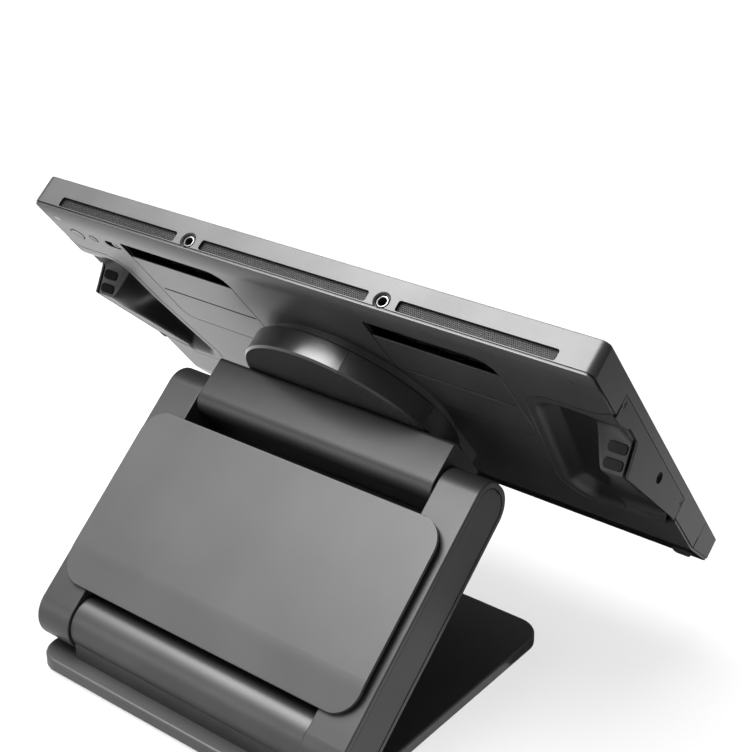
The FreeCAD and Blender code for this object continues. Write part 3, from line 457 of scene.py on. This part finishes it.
def turned(name, profile, matrix):
    """Closed ring from a closed profile of (radius, height) turned about the third axis."""
    vertices, faces = [], []
    count = len(profile)
    for step in range(RING_STEPS):
        angle = 2 * math.pi * step / RING_STEPS
        vertices += [(radius * math.cos(angle), radius * math.sin(angle), z) for radius, z in profile]
        other = (step + 1) % RING_STEPS
        faces += [(step * count + i, step * count + (i + 1) % count, other * count + (i + 1) % count,
                   other * count + i) for i in range(count)]
    return placed(mesh_object(name, vertices, faces), matrix, RING_SHARP_ANGLE)


def joined(name, pieces):
    """One object from several drawn in the shared frame."""
    build = bmesh.new()
    for piece in pieces:
        build.from_mesh(piece.data)
        bpy.data.objects.remove(piece)
    mesh = bpy.data.meshes.new(name)
    build.to_mesh(mesh)
    build.free()
    made = bpy.data.objects.new(name, mesh)
    bpy.context.scene.collection.objects.link(made)
    return made


def combine(piece, tool, operation):
    """Boolean of a piece with another mesh, which is used up."""
    modifier = piece.modifiers.new("cut", "BOOLEAN")
    modifier.operation = operation
    modifier.solver = "EXACT"
    modifier.object = tool
    bpy.context.view_layer.update()
    shown = bpy.context.evaluated_depsgraph_get()
    result = bpy.data.meshes.new_from_object(piece.evaluated_get(shown))
    piece.modifiers.clear()
    piece.data = result
    bpy.data.objects.remove(tool)
    return piece


def keep_flats(piece):
    """Flat faces keep their own normal beside rounded ones."""
    flat = piece.modifiers.new("flat", "WEIGHTED_NORMAL")
    flat.weight = FLAT_WEIGHT
    flat.keep_sharp = True


def round_edges(piece, width, angle):
    """Small rounded edges wherever faces meet at more than an angle, with flat faces left flat."""
    bevel = piece.modifiers.new("edges", "BEVEL")
    bevel.width = width * MM
    bevel.segments = BEVEL_STEPS
    bevel.limit_method = "ANGLE"
    bevel.angle_limit = math.radians(angle)
    keep_flats(piece)


def finished(piece, body, slot, nodes=()):
    piece.data.materials.clear()
    piece.data.materials.append(MATERIALS[slot])
    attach(piece, body)
    if nodes:
        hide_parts(*nodes)
    return piece


def mirror_to(sign):
    """Drawings of a side are made for +x; this brings them to their own side of the display."""
    return DISPLAY @ Matrix.Diagonal((sign, 1, 1, 1))


# ---- Grips ---------------------------------------------------------------------------------------
# Each grip is one smooth moulding: a bowl with a rolled lip, and a ridge that ends in the key wall.
# Its depth behind the glass is worked out over x (outwards) and y (up the glass).
SIDES = {"left": -1, "right": 1}
DISPLAY_T = 24.2
RECESS_FLOOR = 14.5
FLANGE = 1.6
MOULDING_BACK = RECESS_FLOOR - FLANGE
RIMS = {
    "left": ((258, 108, 0), (226, 88.4, 18), (172, 88, 28),
             (148.5, -76, 26), (222, -76, 20), (256, -42, 0)),
    "right": ((258, 97, 0), (234, 84, 16), (192.5, 84.8, 20), (190.3, 32, 60),
              (172.5, -66, 17), (222, -66, 20), (256, -37, 0)),
}
LIP_START = 5.5
LIP_WIDTH = 13.0
LIP_WIDTH_AT_WALL = 34.0
LIP_WIDTH_AT_FOOT = 17.0
LIP_SHARE = 0.42             # share of that width which is still a piece in the colour of the back
SEAM_WIDTH, SEAM_DEPTH = 0.65, 3.0
CREST_Y, CREST_DEPTH = 40.6, 40.2
FOOT_Y, FOOT_DEPTH = 52.2, 15.6
RIDGE_END_Y, RIDGE_END_DEPTH = -58.3, 23.7
GRIP_OUTER_X = 237.2
PLATE_FACE_X = 239.2
GROOVE_DEPTH, GROOVE_END_Y = 16.0, -38.0
GRIP_INNER = {               # foot of the ridge's inner side, from its lower end up to the key wall
    "left": ((-64, 199), (-35, 204.5), (-5, 209), (40, 219.8), (56, 219.5)),
    "right": ((-64, 212), (-35, 216.5), (-5, 218), (40, 219.4), (56, 219)),
}
CREST_ROUND, INNER_ROUND, BOWL_ROUND = 1.4, 3.2, 4.5     # radii where the grip's faces run together
INNER_DROP, INNER_STEEPNESS = 0.5, 2.8                   # of the ridge's inner side
SCOOP_Y, SCOOP_LENGTH = 20.0, 16.0                       # a hollow for the finger in that side
SCOOP_EASE, SCOOP_SHIFT = 1.7, 5.0
WALL_ZONE_X, WALL_ZONE_Y = (205, 30), (30, 25)           # start and length of where the lip widens
FOOT_ZONE_Y = (40, 30)                                   # the same, downwards
GROOVE_EDGE, GROOVE_PAST_FOOT = 0.3, 2
KEY_X = 229.0
KEY_SIZE = (13.4, 6.4, 2.0)
KEY_GAP = 0.35
KEY_DEPTHS = (25.1, 34.9)
POCKET_DEPTH = 4.4
GRID, GRID_MARGIN = 0.95, 0.4
AREA_LOW, CUTTER_LOW = 20, 10        # where the blocks that cut the moulding start, clear of its crest
GRIP_SHARP_ANGLE = 38


def smooth_max(a, b, radius):
    share = np.clip(0.5 + (a - b) / (2 * radius), 0, 1)
    return b + (a - b) * share + radius * share * (1 - share)


def smooth_min(a, b, radius):
    return -smooth_max(-a, -b, radius)


def smooth_step(value):
    value = np.clip(value, 0, 1)
    return value * value * (3 - 2 * value)


def distance_inside(x, y, outline):
    """Distance from a closed outline, zero outside it."""
    best = np.full(x.shape, 1e9)
    inside = np.zeros(x.shape, bool)
    for a, b in zip(outline, outline[1:] + outline[:1]):
        run = b - a
        if run.length < 1e-6:
            continue
        along = np.clip(((x - a.x) * run.x + (y - a.y) * run.y) / run.length_squared, 0, 1)
        best = np.minimum(best, np.hypot(x - a.x - along * run.x, y - a.y - along * run.y))
        if a.y != b.y:
            inside ^= ((a.y > y) != (b.y > y)) & (x < a.x + (y - a.y) * run.x / run.y)
    return np.where(inside, best, 0)


def rising(value, zone):
    start, length = zone
    return smooth_step((value - start) / length)


def lip_width(x, y):
    near_wall = rising(x, WALL_ZONE_X) * rising(y, WALL_ZONE_Y)
    near_foot = rising(-y, FOOT_ZONE_Y)
    return (LIP_WIDTH + (LIP_WIDTH_AT_WALL - LIP_WIDTH) * near_wall
            + (LIP_WIDTH_AT_FOOT - LIP_WIDTH) * near_foot)


def grip_depth(side, x, y, outline):
    """Depth of the moulding's outer face behind the glass."""
    reach = distance_inside(x, y, outline)
    bowl = DISPLAY_T - (DISPLAY_T - RECESS_FLOOR) * smooth_step((reach - LIP_START) / lip_width(x, y))
    ridge_slope = (CREST_DEPTH - RIDGE_END_DEPTH) / (CREST_Y - RIDGE_END_Y)
    ridge = RIDGE_END_DEPTH + ridge_slope * (y - RIDGE_END_Y)
    wall_slope = (CREST_DEPTH - FOOT_DEPTH) / (FOOT_Y - CREST_Y)
    key_wall = FOOT_DEPTH + wall_slope * (FOOT_Y - y)
    heights, edges = zip(*GRIP_INNER[side])
    inner_x = np.interp(y, heights, edges)
    scoop = np.exp(-((y - SCOOP_Y) / SCOOP_LENGTH) ** 2)
    steepness = INNER_STEEPNESS - SCOOP_EASE * scoop
    inner_side = ridge - INNER_DROP + steepness * (x - inner_x - SCOOP_SHIFT * scoop)
    pod = smooth_min(smooth_min(ridge, key_wall, CREST_ROUND), inner_side, INNER_ROUND)
    body = smooth_max(bowl, pod, BOWL_ROUND)
    groove = np.clip((x - GRIP_OUTER_X) / GROOVE_EDGE, 0, 1)
    groove = groove * (y < FOOT_Y + GROOVE_PAST_FOOT) * (y > GROOVE_END_Y)
    return body - np.clip(body - GROOVE_DEPTH, 0, None) * groove


def key_frame(depth):
    """Frame on the key wall: x across, y down the wall to its crest, z straight out of it."""
    rise, run = CREST_DEPTH - FOOT_DEPTH, FOOT_Y - CREST_Y
    y = FOOT_Y - run * (depth - FOOT_DEPTH) / rise
    turn = Matrix.Rotation(-math.pi / 2 - math.atan2(run, rise), 4, "X")
    return Matrix.Translation((KEY_X, y, HINGE_DEPTH - depth)) @ turn


def rounded_block(half_w, half_h, radius):
    return rounded_outline([(-half_w, -half_h, radius), (half_w, -half_h, radius),
                            (half_w, half_h, radius), (-half_w, half_h, radius)], 15)


def grip_solid(name, side, outline):
    """Closed block whose outer face is the grip's surface, over the whole outline."""
    low_x = min(p.x for p in outline) - 1
    groove = [GRIP_OUTER_X, GRIP_OUTER_X + GROOVE_EDGE, PLATE_FACE_X]
    xs = np.append(np.arange(low_x, GRIP_OUTER_X - GRID_MARGIN, GRID), groove)
    ys = np.arange(min(p.y for p in outline) - 1, max(p.y for p in outline) + 1, GRID)
    x, y = np.meshgrid(xs, ys)
    z = HINGE_DEPTH - grip_depth(side, x, y, outline)
    rows, columns = x.shape
    edge = [(0, i) for i in range(columns)] + [(j, columns - 1) for j in range(1, rows)]
    edge += [(rows - 1, i) for i in range(columns - 2, -1, -1)] + [(j, 0) for j in range(rows - 2, 0, -1)]
    top = list(zip(x.ravel(), y.ravel(), z.ravel()))
    under = [(x[j, i], y[j, i], HINGE_DEPTH - MOULDING_BACK) for j, i in edge]
    faces = [(j * columns + i, j * columns + i + 1, (j + 1) * columns + i + 1, (j + 1) * columns + i)
             for j in range(rows - 1) for i in range(columns - 1)]
    first, count = len(top), len(edge)
    for step, (j, i) in enumerate(edge):
        other_j, other_i = edge[(step + 1) % count]
        faces.append((j * columns + i, other_j * columns + other_i, first + (step + 1) % count, first + step))
    faces.append(tuple(range(first, first + count)))
    return placed(mesh_object(name, top + under, faces), mirror_to(SIDES[side]))


def area_tool(outline, matrix, low=AREA_LOW):
    """Block over an outline, cut off at the side plate."""
    clipped = [Vector((min(p.x, PLATE_FACE_X), p.y)) for p in outline]
    return extruded("area", clipped, low, HINGE_DEPTH, matrix)


def lip_edge(outline):
    """Inner edge of the lip, where painted shade has turned the bowl black."""
    places = np.array([tuple(p) for p in outline])
    amounts = LIP_START + LIP_SHARE * lip_width(places[:, 0], places[:, 1])
    return [p + (q - p) * float(amount) for p, q, amount in zip(outline, grown(outline, -1), amounts)]


def seam_tool(outline, matrix):
    """Ring that cuts the step round the outside of the lip."""
    top = HINGE_DEPTH - DISPLAY_T
    ring = extruded("seam", grown(outline, 1), top - 4, top + SEAM_DEPTH, matrix)
    middle = extruded("middle", grown(outline, -SEAM_WIDTH), top - 6, top + 4, matrix)
    return combine(ring, middle, "DIFFERENCE")


def grip(side):
    """Lip in the colour of the back, and the inside blackened with painted shade, with its ridge and key
    pockets.
    """
    matrix = mirror_to(SIDES[side])
    outline = grown(rounded_outline(RIMS[side], 6), FLANGE)
    inner = lip_edge(outline)
    lip = combine(grip_solid("grip_lip_" + side, side, outline), area_tool(outline, matrix), "INTERSECT")
    combine(lip, area_tool(inner, matrix, CUTTER_LOW), "DIFFERENCE")
    combine(lip, seam_tool(outline, matrix), "DIFFERENCE")
    inside = combine(grip_solid("grip_inside_" + side, side, outline), area_tool(inner, matrix), "INTERSECT")
    width, height, radius = KEY_SIZE
    pocket = rounded_block(width / 2 + KEY_GAP, height / 2 + KEY_GAP, radius + KEY_GAP)
    for depth in KEY_DEPTHS:
        combine(inside, extruded("pocket", pocket, -POCKET_DEPTH, 8, matrix @ key_frame(depth)), "DIFFERENCE")
    for piece in (lip, inside):
        piece.data.shade_smooth()
        piece.data.set_sharp_from_angle(angle=math.radians(GRIP_SHARP_ANGLE))
        keep_flats(piece)
    finished(lip, "display", "back_shell")
    lip.data.materials[0] = LIP_COAT
    finished(inside, "display", "grip_plastic", ("grip_tray_" + side, "grip_pod_" + side))


for side in SIDES:
    grip(side)


# ---- Side plates: their back edge follows the moulding -------------------------------------------
PLATE_T = 1.6
PLATE_TOP, PLATE_BOTTOM = 95.5, -55.3
PLATE_FRONT = 8.2
PLATE_NOTCH = (94.0, 15.5)
SCREW_Y = (91.5, -51.5)
SCREW_DEPTH = 13.0
SCREW_HOLE_R = 2.15
SOCKET_DEPTH = 17.6
SIDE_SOCKET_Y, SIDE_SOCKET_HOLE_R = -2.5, 4.0
SKIN_EDGE_R, SKIN_EDGE_ANGLE = 0.3, 35


def side_plate(side):
    outline = grown(rounded_outline(RIMS[side], 6), FLANGE)
    heights = np.arange(PLATE_NOTCH[0], PLATE_BOTTOM, -0.8)
    edge = grip_depth(side, np.full(heights.shape, GRIP_OUTER_X - 2.5), heights, outline)
    corners = [(PLATE_BOTTOM, PLATE_FRONT), (PLATE_TOP, PLATE_FRONT), (PLATE_TOP, PLATE_NOTCH[1] - 1),
               PLATE_NOTCH]
    corners += list(zip(heights, np.minimum(edge, CREST_DEPTH) - 0.1))
    points = [Vector((y, HINGE_DEPTH - depth)) for y, depth in corners]
    across = Matrix(((0, 0, 1, 0), (1, 0, 0, 0), (0, 1, 0, 0), (0, 0, 0, 1)))
    matrix = mirror_to(SIDES[side]) @ across
    plate = extruded("side_plate_skin_" + side, points, HALF_W - PLATE_T, HALF_W, matrix)
    holes = [(y, SCREW_DEPTH, SCREW_HOLE_R) for y in SCREW_Y]
    holes.append((SIDE_SOCKET_Y, SOCKET_DEPTH, SIDE_SOCKET_HOLE_R))
    for y, depth, radius in holes:
        ring = [Vector((y + radius * math.cos(a), HINGE_DEPTH - depth + radius * math.sin(a)))
                for a in np.linspace(0, 2 * math.pi, 33)[:-1]]
        combine(plate, extruded("hole", ring, HALF_W - 4, HALF_W + 4, matrix), "DIFFERENCE")
    plate.data.shade_smooth()
    round_edges(plate, SKIN_EDGE_R, SKIN_EDGE_ANGLE)
    finished(plate, "display", SLOTS["side_plate_" + side], ("side_plate_" + side,))
    plate.data.materials[0] = SIDE_PLATE_COAT


for side in SIDES:
    side_plate(side)

# ---- Port covers and the buttons beside them -----------------------------------------------------
BAY_START = {"left": -159.5, "right": 67.5}
BAY_W = 102.0
BAY_BOTTOM, FLAP_TOP = 13.0, 99.5
FLAP_FRONT = 22.7
FLAP_GAP = 0.6
FLAP_LOW_R, FLAP_TOP_R = 11.5, 1.5
SLIT = (3.0, 97.0, 56.5, 1.9)        # start, stop, height and width
SLIT_DEPTH, SLIT_SHADE_DEPTH = 1.2, 0.35


def port_flap(side):
    start, stop = BAY_START[side] + FLAP_GAP, BAY_START[side] + BAY_W - FLAP_GAP
    low = BAY_BOTTOM + FLAP_GAP
    outline = rounded_outline([(start, low, FLAP_LOW_R), (stop, low, FLAP_LOW_R),
                               (stop, FLAP_TOP, FLAP_TOP_R), (start, FLAP_TOP, FLAP_TOP_R)], 8)
    flap = extruded("port_flap_" + side, outline, HINGE_DEPTH - DISPLAY_T, HINGE_DEPTH - FLAP_FRONT, DISPLAY)
    x0, x1, y, width = SLIT
    x0, x1 = BAY_START[side] + x0, BAY_START[side] + x1
    half = width / 2
    groove = rounded_outline([(x0, y - half, half - 0.1), (x1, y - half, half - 0.1),
                              (x1, y + half, half - 0.1), (x0, y + half, half - 0.1)], 30)
    top = HINGE_DEPTH - DISPLAY_T
    combine(flap, extruded("slit", groove, top - 5, top + SLIT_DEPTH, DISPLAY), "DIFFERENCE")
    flap.data.shade_smooth()
    round_edges(flap, SKIN_EDGE_R, SKIN_EDGE_ANGLE)
    finished(flap, "display", "back_shell", ("port_cover_" + side,))
    # painted shade: a black block fills the slit just below its edges
    slit_shade = extruded("port_flap_slit_" + side, grown(groove, -0.02), top + SLIT_SHADE_DEPTH,
                      top + SLIT_DEPTH + 0.1, DISPLAY)
    finished(slit_shade, "display", "grip_plastic")
    slit_shade.data.materials[0] = SLIT_PAINTED_SHADE


for side in SIDES:
    port_flap(side)


BUTTONS = {"power_button": (220.0, 108.9, 6.25), "settings_button": (202.0, 109.5, 4.0)}
BUTTON_GAP = 0.4
BUTTON_FOOT = -3.8
AXIS_R = 0.01                # a turned profile ends this near its axis


def dished_button(node, x, y, radius):
    """Round button with a shallow dish and a soft rim."""
    rim = radius - BUTTON_GAP
    profile = [(AXIS_R, 0.0), (rim * 0.5, 0.08), (rim * 0.8, 0.24), (rim - 0.5, 0.34), (rim - 0.2, 0.3),
               (rim, 0.05), (rim, BUTTON_FOOT), (AXIS_R, BUTTON_FOOT)]
    flipped = DISPLAY @ Matrix.Translation((x, y, HINGE_DEPTH - DISPLAY_T)) @ Matrix.Diagonal((1, 1, -1, 1))
    finished(turned(node + "_cap", profile, flipped), NODES[node]["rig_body"], "back_shell", (node,))


for node, place in BUTTONS.items():
    dished_button(node, *place)

# ---- Vent grilles: perforated plates over slanted ribs -------------------------------------------
VENT_SPANS = {"left": (-214.5, -96.7), "centre": (-73.0, 73.0), "right": (96.7, 214.5)}
VENT_DEPTHS = (13.8, 21.8)
GRILLE_TOP = HALF_H - 2.4
GRILLE_T = 0.8
HOLE_PITCH = 1.5
HOLE_R = 0.6
ROW_SHARE = 0.87             # distance between rows of holes, as a share of their pitch
VENT_MARGIN = 0.6
RIB_PITCH = 3.4
RIB_DROP = 4.5
RIB_FAR, RIB_NEAR = 2.2, 0.8         # edges of a slanted bar either side of its middle
RIB_START, RIB_CLEAR = 4, 6


def perforated_plate(low, high):
    """Brick pattern of cells, each with a round hole; the cells' edges share their points."""
    vertices, faces = [], []
    row_height = HOLE_PITCH * ROW_SHARE
    rows = math.ceil((VENT_DEPTHS[1] - VENT_DEPTHS[0] + VENT_MARGIN) / row_height)
    middle = (VENT_DEPTHS[0] + VENT_DEPTHS[1]) / 2
    columns = math.ceil((high - low) / HOLE_PITCH) + 1
    start = (low + high) / 2 - columns * HOLE_PITCH / 2 - HOLE_PITCH / 4
    half_w, half_h = HOLE_PITCH / 2, row_height / 2
    corner = [(half_w, 0), (half_w, half_h), (0, half_h), (-half_w, half_h), (-half_w, 0), (-half_w, -half_h),
              (0, -half_h), (half_w, -half_h)]
    hole = [(HOLE_R * math.cos(k * math.pi / 4), HOLE_R * math.sin(k * math.pi / 4)) for k in range(8)]
    owners = {}
    for row in range(rows):
        z = HINGE_DEPTH - middle + (row - (rows - 1) / 2) * row_height
        for column in range(columns):
            x = start + (column + 0.5 + 0.5 * (row % 2)) * HOLE_PITCH
            first = len(vertices)
            for y in (GRILLE_TOP, GRILLE_TOP - GRILLE_T):
                vertices += [(x + dx, y, z + dz) for dx, dz in corner + hole]
            for k in range(8):
                n = (k + 1) % 8
                faces.append((first + k, first + n, first + 8 + n, first + 8 + k))
                faces.append((first + 16 + k, first + 24 + k, first + 24 + n, first + 16 + n))
                faces.append((first + 8 + k, first + 8 + n, first + 24 + n, first + 24 + k))
                ends = frozenset(tuple(round(v, 4) for v in vertices[first + i]) for i in (k, n))
                owners.setdefault(ends, []).append((first + k, first + n))
    for (a, b), *others in owners.values():
        if not others:
            faces.append((a, a + 16, b + 16, b))
    return vertices, faces


def ribs(low, high):
    """Slanted bars under a grille."""
    half_depth = (VENT_DEPTHS[1] - VENT_DEPTHS[0]) / 2 - 0.1
    middle = HINGE_DEPTH - (VENT_DEPTHS[0] + VENT_DEPTHS[1]) / 2
    vertices, faces = [], []
    y0, y1 = GRILLE_TOP - GRILLE_T - 0.3, GRILLE_TOP - GRILLE_T - RIB_DROP
    for step in range(int((high - low - RIB_CLEAR) / RIB_PITCH)):
        x = low + RIB_START + step * RIB_PITCH
        first = len(vertices)
        for y in (y0, y1):
            vertices += [(x - RIB_FAR, y, middle - half_depth), (x - RIB_NEAR, y, middle - half_depth),
                         (x + RIB_FAR, y, middle + half_depth), (x + RIB_NEAR, y, middle + half_depth)]
        faces += [tuple(first + i for i in loop) for loop in
                  ((0, 1, 2, 3), (7, 6, 5, 4), (0, 4, 5, 1), (1, 5, 6, 2), (2, 6, 7, 3), (3, 7, 4, 0))]
    return vertices, faces


for name, (low, high) in VENT_SPANS.items():
    plate = placed(mesh_object("vent_plate_" + name, *perforated_plate(low, high)), DISPLAY, 40)
    finished(plate, "display", "grille_metal", ("vent_grille_" + name,))
    bars = placed(mesh_object("vent_ribs_" + name, *ribs(low, high)), DISPLAY)
    finished(bars, "display", "grille_metal")
    bars.data.materials[0] = RIB_METAL

# ---- Accessory sockets: a sunk dark ring, a bright collar, and a bore blackened as painted shade ---
TOP_SOCKET_X, TOP_SOCKET_SUNK = 84.6, 1.2
SOCKET_KINDS = {"top": (4.85, 0.9), "side": (3.95, 0.25)}    # outer radius, and rise of its rim
SOCKET_BORE_R = 3.175
SOCKET_LENGTH = 9.8
BORE_FLOOR = -8.4
RING_WIDTH, RING_FLOOR = 0.75, -0.5
THREAD_PITCH, THREAD_HEIGHT, THREAD_TURNS = 1.27, 0.4, 6


def socket_frame(kind, sign):
    z = HINGE_DEPTH - SOCKET_DEPTH
    if kind == "top":
        place = Matrix.Translation((sign * TOP_SOCKET_X, HALF_H - TOP_SOCKET_SUNK, z))
        return place @ Matrix.Rotation(-math.pi / 2, 4, "X")
    place = Matrix.Translation((sign * PLATE_FACE_X, SIDE_SOCKET_Y, z))
    return place @ Matrix.Rotation(sign * math.pi / 2, 4, "Y")


def socket_pieces():
    bodies, collars = [], []
    for kind, (outer, rise) in SOCKET_KINDS.items():
        waist = outer - RING_WIDTH
        wall = [(outer, rise), (waist, RING_FLOOR), (SOCKET_BORE_R, RING_FLOOR)]
        for turn in range(THREAD_TURNS):
            depth = -0.6 - turn * THREAD_PITCH
            wall += [(SOCKET_BORE_R, depth), (SOCKET_BORE_R + THREAD_HEIGHT, depth - THREAD_PITCH / 2)]
        wall += [(SOCKET_BORE_R, BORE_FLOOR), (AXIS_R, BORE_FLOOR), (AXIS_R, -SOCKET_LENGTH),
                 (outer, -SOCKET_LENGTH)]
        collar = [(waist, -0.45), (waist - 0.1, -0.12), (SOCKET_BORE_R + 0.3, -0.05),
                  (SOCKET_BORE_R - 0.05, -0.3), (SOCKET_BORE_R - 0.05, -0.9), (waist, -0.9)]
        for sign in SIDES.values():
            matrix = DISPLAY @ socket_frame(kind, sign)
            bodies.append(turned("body", wall, matrix))
            collars.append(turned("collar", collar, matrix))
    # painted shade: the threaded bore and its floor are near black, standing in for the shade in the hole
    finished(joined("socket_bodies", bodies), "display", "rubber")
    collar = finished(joined("socket_collars", collars), "display", "bright_steel", ("accessory_sockets",))
    collar.data.materials[0] = SOCKET_STEEL


socket_pieces()

# ---- Small rounded edges on the CAD nodes --------------------------------------------------------
EDGE_ROUNDING = {
    "side_frame": 0.45, "lower_frame_rail": 0.45, "back_cover": 0.3, "mount_plate": 0.5, "release_latch": 0.4,
}
NODE_EDGE_ANGLE = 40
NODE_WELD_GAP = 0.00001
for name, width in EDGE_ROUNDING.items():
    weld = NODES[name].modifiers.new("weld", "WELD")
    weld.merge_threshold = NODE_WELD_GAP
    round_edges(NODES[name], width, NODE_EDGE_ANGLE)


# ---- Camera --------------------------------------------------------------------------------------
CAMERA_PLACE = Vector((-0.63081, 0.73800, 0.69342))
CAMERA_YAW = math.radians(38.064)
CAMERA_DIP = math.radians(26.17)
CAMERA_LENS, CAMERA_SENSOR = 73.73, 36.0
forward = Vector((math.sin(CAMERA_YAW) * math.cos(CAMERA_DIP), -math.cos(CAMERA_YAW) * math.cos(CAMERA_DIP),
                  -math.sin(CAMERA_DIP)))
camera_data = bpy.data.cameras.new("camera")
camera_data.lens = CAMERA_LENS
camera_data.sensor_width = CAMERA_SENSOR
camera_data.clip_start = 0.01
camera = bpy.data.objects.new("camera", camera_data)
camera.location = CAMERA_PLACE
camera.rotation_mode = "QUATERNION"
camera.rotation_quaternion = forward.to_track_quat("-Z", "Y")
bpy.context.scene.collection.objects.link(camera)
bpy.context.scene.camera = camera


# ---- Floor and lights ----------------------------------------------------------------------------
def area_light(name, place, target, width, height, power):
    data = bpy.data.lights.new(name, "AREA")
    data.shape = "RECTANGLE"
    data.size = width
    data.size_y = height
    data.energy = power
    light = bpy.data.objects.new(name, data)
    light.location = place
    light.rotation_mode = "QUATERNION"
    light.rotation_quaternion = (Vector(target) - Vector(place)).to_track_quat("-Z", "Y")
    bpy.context.scene.collection.objects.link(light)
    return light


FLOOR_DARK, FLOOR_LIGHT = 0.86, 0.9
FLOOR_TONE = 0.88            # the mean of the two
CARD_DARK, CARD_LIGHT = 0.004, 0.006
CARD_HEIGHT = 0.003
floor_shader = Shader("floor")
floor_shader.tone(floor_shader.noise(3.0), grey(FLOOR_DARK), grey(FLOOR_LIGHT))
floor_shader.set(Roughness=0.9, Specular_IOR_Level=0.1)
floor = mesh_object("floor", [(-8, -8, 0), (8, -8, 0), (8, 8, 0), (-8, 8, 0)], [(0, 1, 2, 3)],
                    floor_shader.material)


def dark_card(name, corners):
    """Black card that the object mirrors but the camera doesn't see: painted shade in the reflections of the
    floor.
    """
    shader = Shader(name)
    shader.set(Roughness=1.0, Specular_IOR_Level=0.0)
    shader.tone(shader.noise(5.0), grey(CARD_DARK), grey(CARD_LIGHT))
    card = mesh_object(name, [(x, y, CARD_HEIGHT) for x, y in corners], [tuple(range(len(corners)))],
                       shader.material)
    card.visible_camera = False
    card.visible_diffuse = False
    card.visible_shadow = False


# painted shade: the cards darken the floor as the object mirrors it, under the display and off to one side
dark_card("floor_card", ((-0.27, -0.088), (-0.15, -0.05), (0.0, -0.05), (0.1, -0.088), (0.2, -0.13),
                         (0.2, -1.2), (-0.27, -1.2)))
dark_card("side_card", ((-4.0, -4.0), (-0.5, -4.0), (-0.5, 0.1), (-4.0, 0.1)))

AMBIENT, BACKDROP = 0.28, 1.0        # light on the object, and brightness behind it
world = bpy.data.worlds.new("studio")
world.use_nodes = True
background = world.node_tree.nodes["Background"]
background.inputs["Strength"].default_value = AMBIENT
backdrop = world.node_tree.nodes.new("ShaderNodeBackground")
backdrop.inputs["Strength"].default_value = BACKDROP
for light in (background, backdrop):
    light.inputs["Color"].default_value = (1.0, 1.0, 1.0, 1.0)
seen = world.node_tree.nodes.new("ShaderNodeLightPath")
choice = world.node_tree.nodes.new("ShaderNodeMixShader")
world.node_tree.links.new(seen.outputs["Is Camera Ray"], choice.inputs[0])
world.node_tree.links.new(background.outputs[0], choice.inputs[1])
world.node_tree.links.new(backdrop.outputs[0], choice.inputs[2])
world.node_tree.links.new(choice.outputs[0], world.node_tree.nodes["World Output"].inputs["Surface"])
bpy.context.scene.world = world
bpy.context.scene.view_settings.view_transform = "Standard"


def sun(name, direction, radiance, spread, shadow):
    """Sun that lights only the floor, to a given brightness."""
    data = bpy.data.lights.new(name, "SUN")
    data.energy = radiance * math.pi / FLOOR_TONE
    data.angle = math.radians(spread)
    data.use_shadow = shadow
    light = bpy.data.objects.new(name, data)
    light.rotation_mode = "QUATERNION"
    light.rotation_quaternion = Vector(direction).to_track_quat("-Z", "Y")
    light.light_linking.receiver_collection = floor_only
    bpy.context.scene.collection.objects.link(light)


floor_only = bpy.data.collections.new("floor_only")
floor_only.objects.link(floor)
object_only = bpy.data.collections.new("object_only")
for shown in bpy.data.objects:
    if shown.type == "MESH" and shown != floor:
        object_only.objects.link(shown)
sun("floor_fill", (0, 0, -1), radiance=0.62, spread=1, shadow=False)
sun("floor_shade", (-0.25, -0.2, -1), radiance=0.3, spread=50, shadow=True)
overhead = area_light("overhead", (0.50, 0.33, 1.5), (0.35, 0.2, 0.0), width=1.3, height=0.9, power=64.0)
fill = area_light("fill", (0.95, 1.55, 0.6), (-0.1, 0.0, 0.18), width=0.9, height=0.7, power=7.0)
glow = area_light("glow", (0.46, -0.03, 0.24), (0.46, -0.03, 0.0), width=0.2, height=0.2, power=0.6)
glow.light_linking.receiver_collection = floor_only
fill.light_linking.receiver_collection = object_only
overhead.light_linking.receiver_collection = object_only
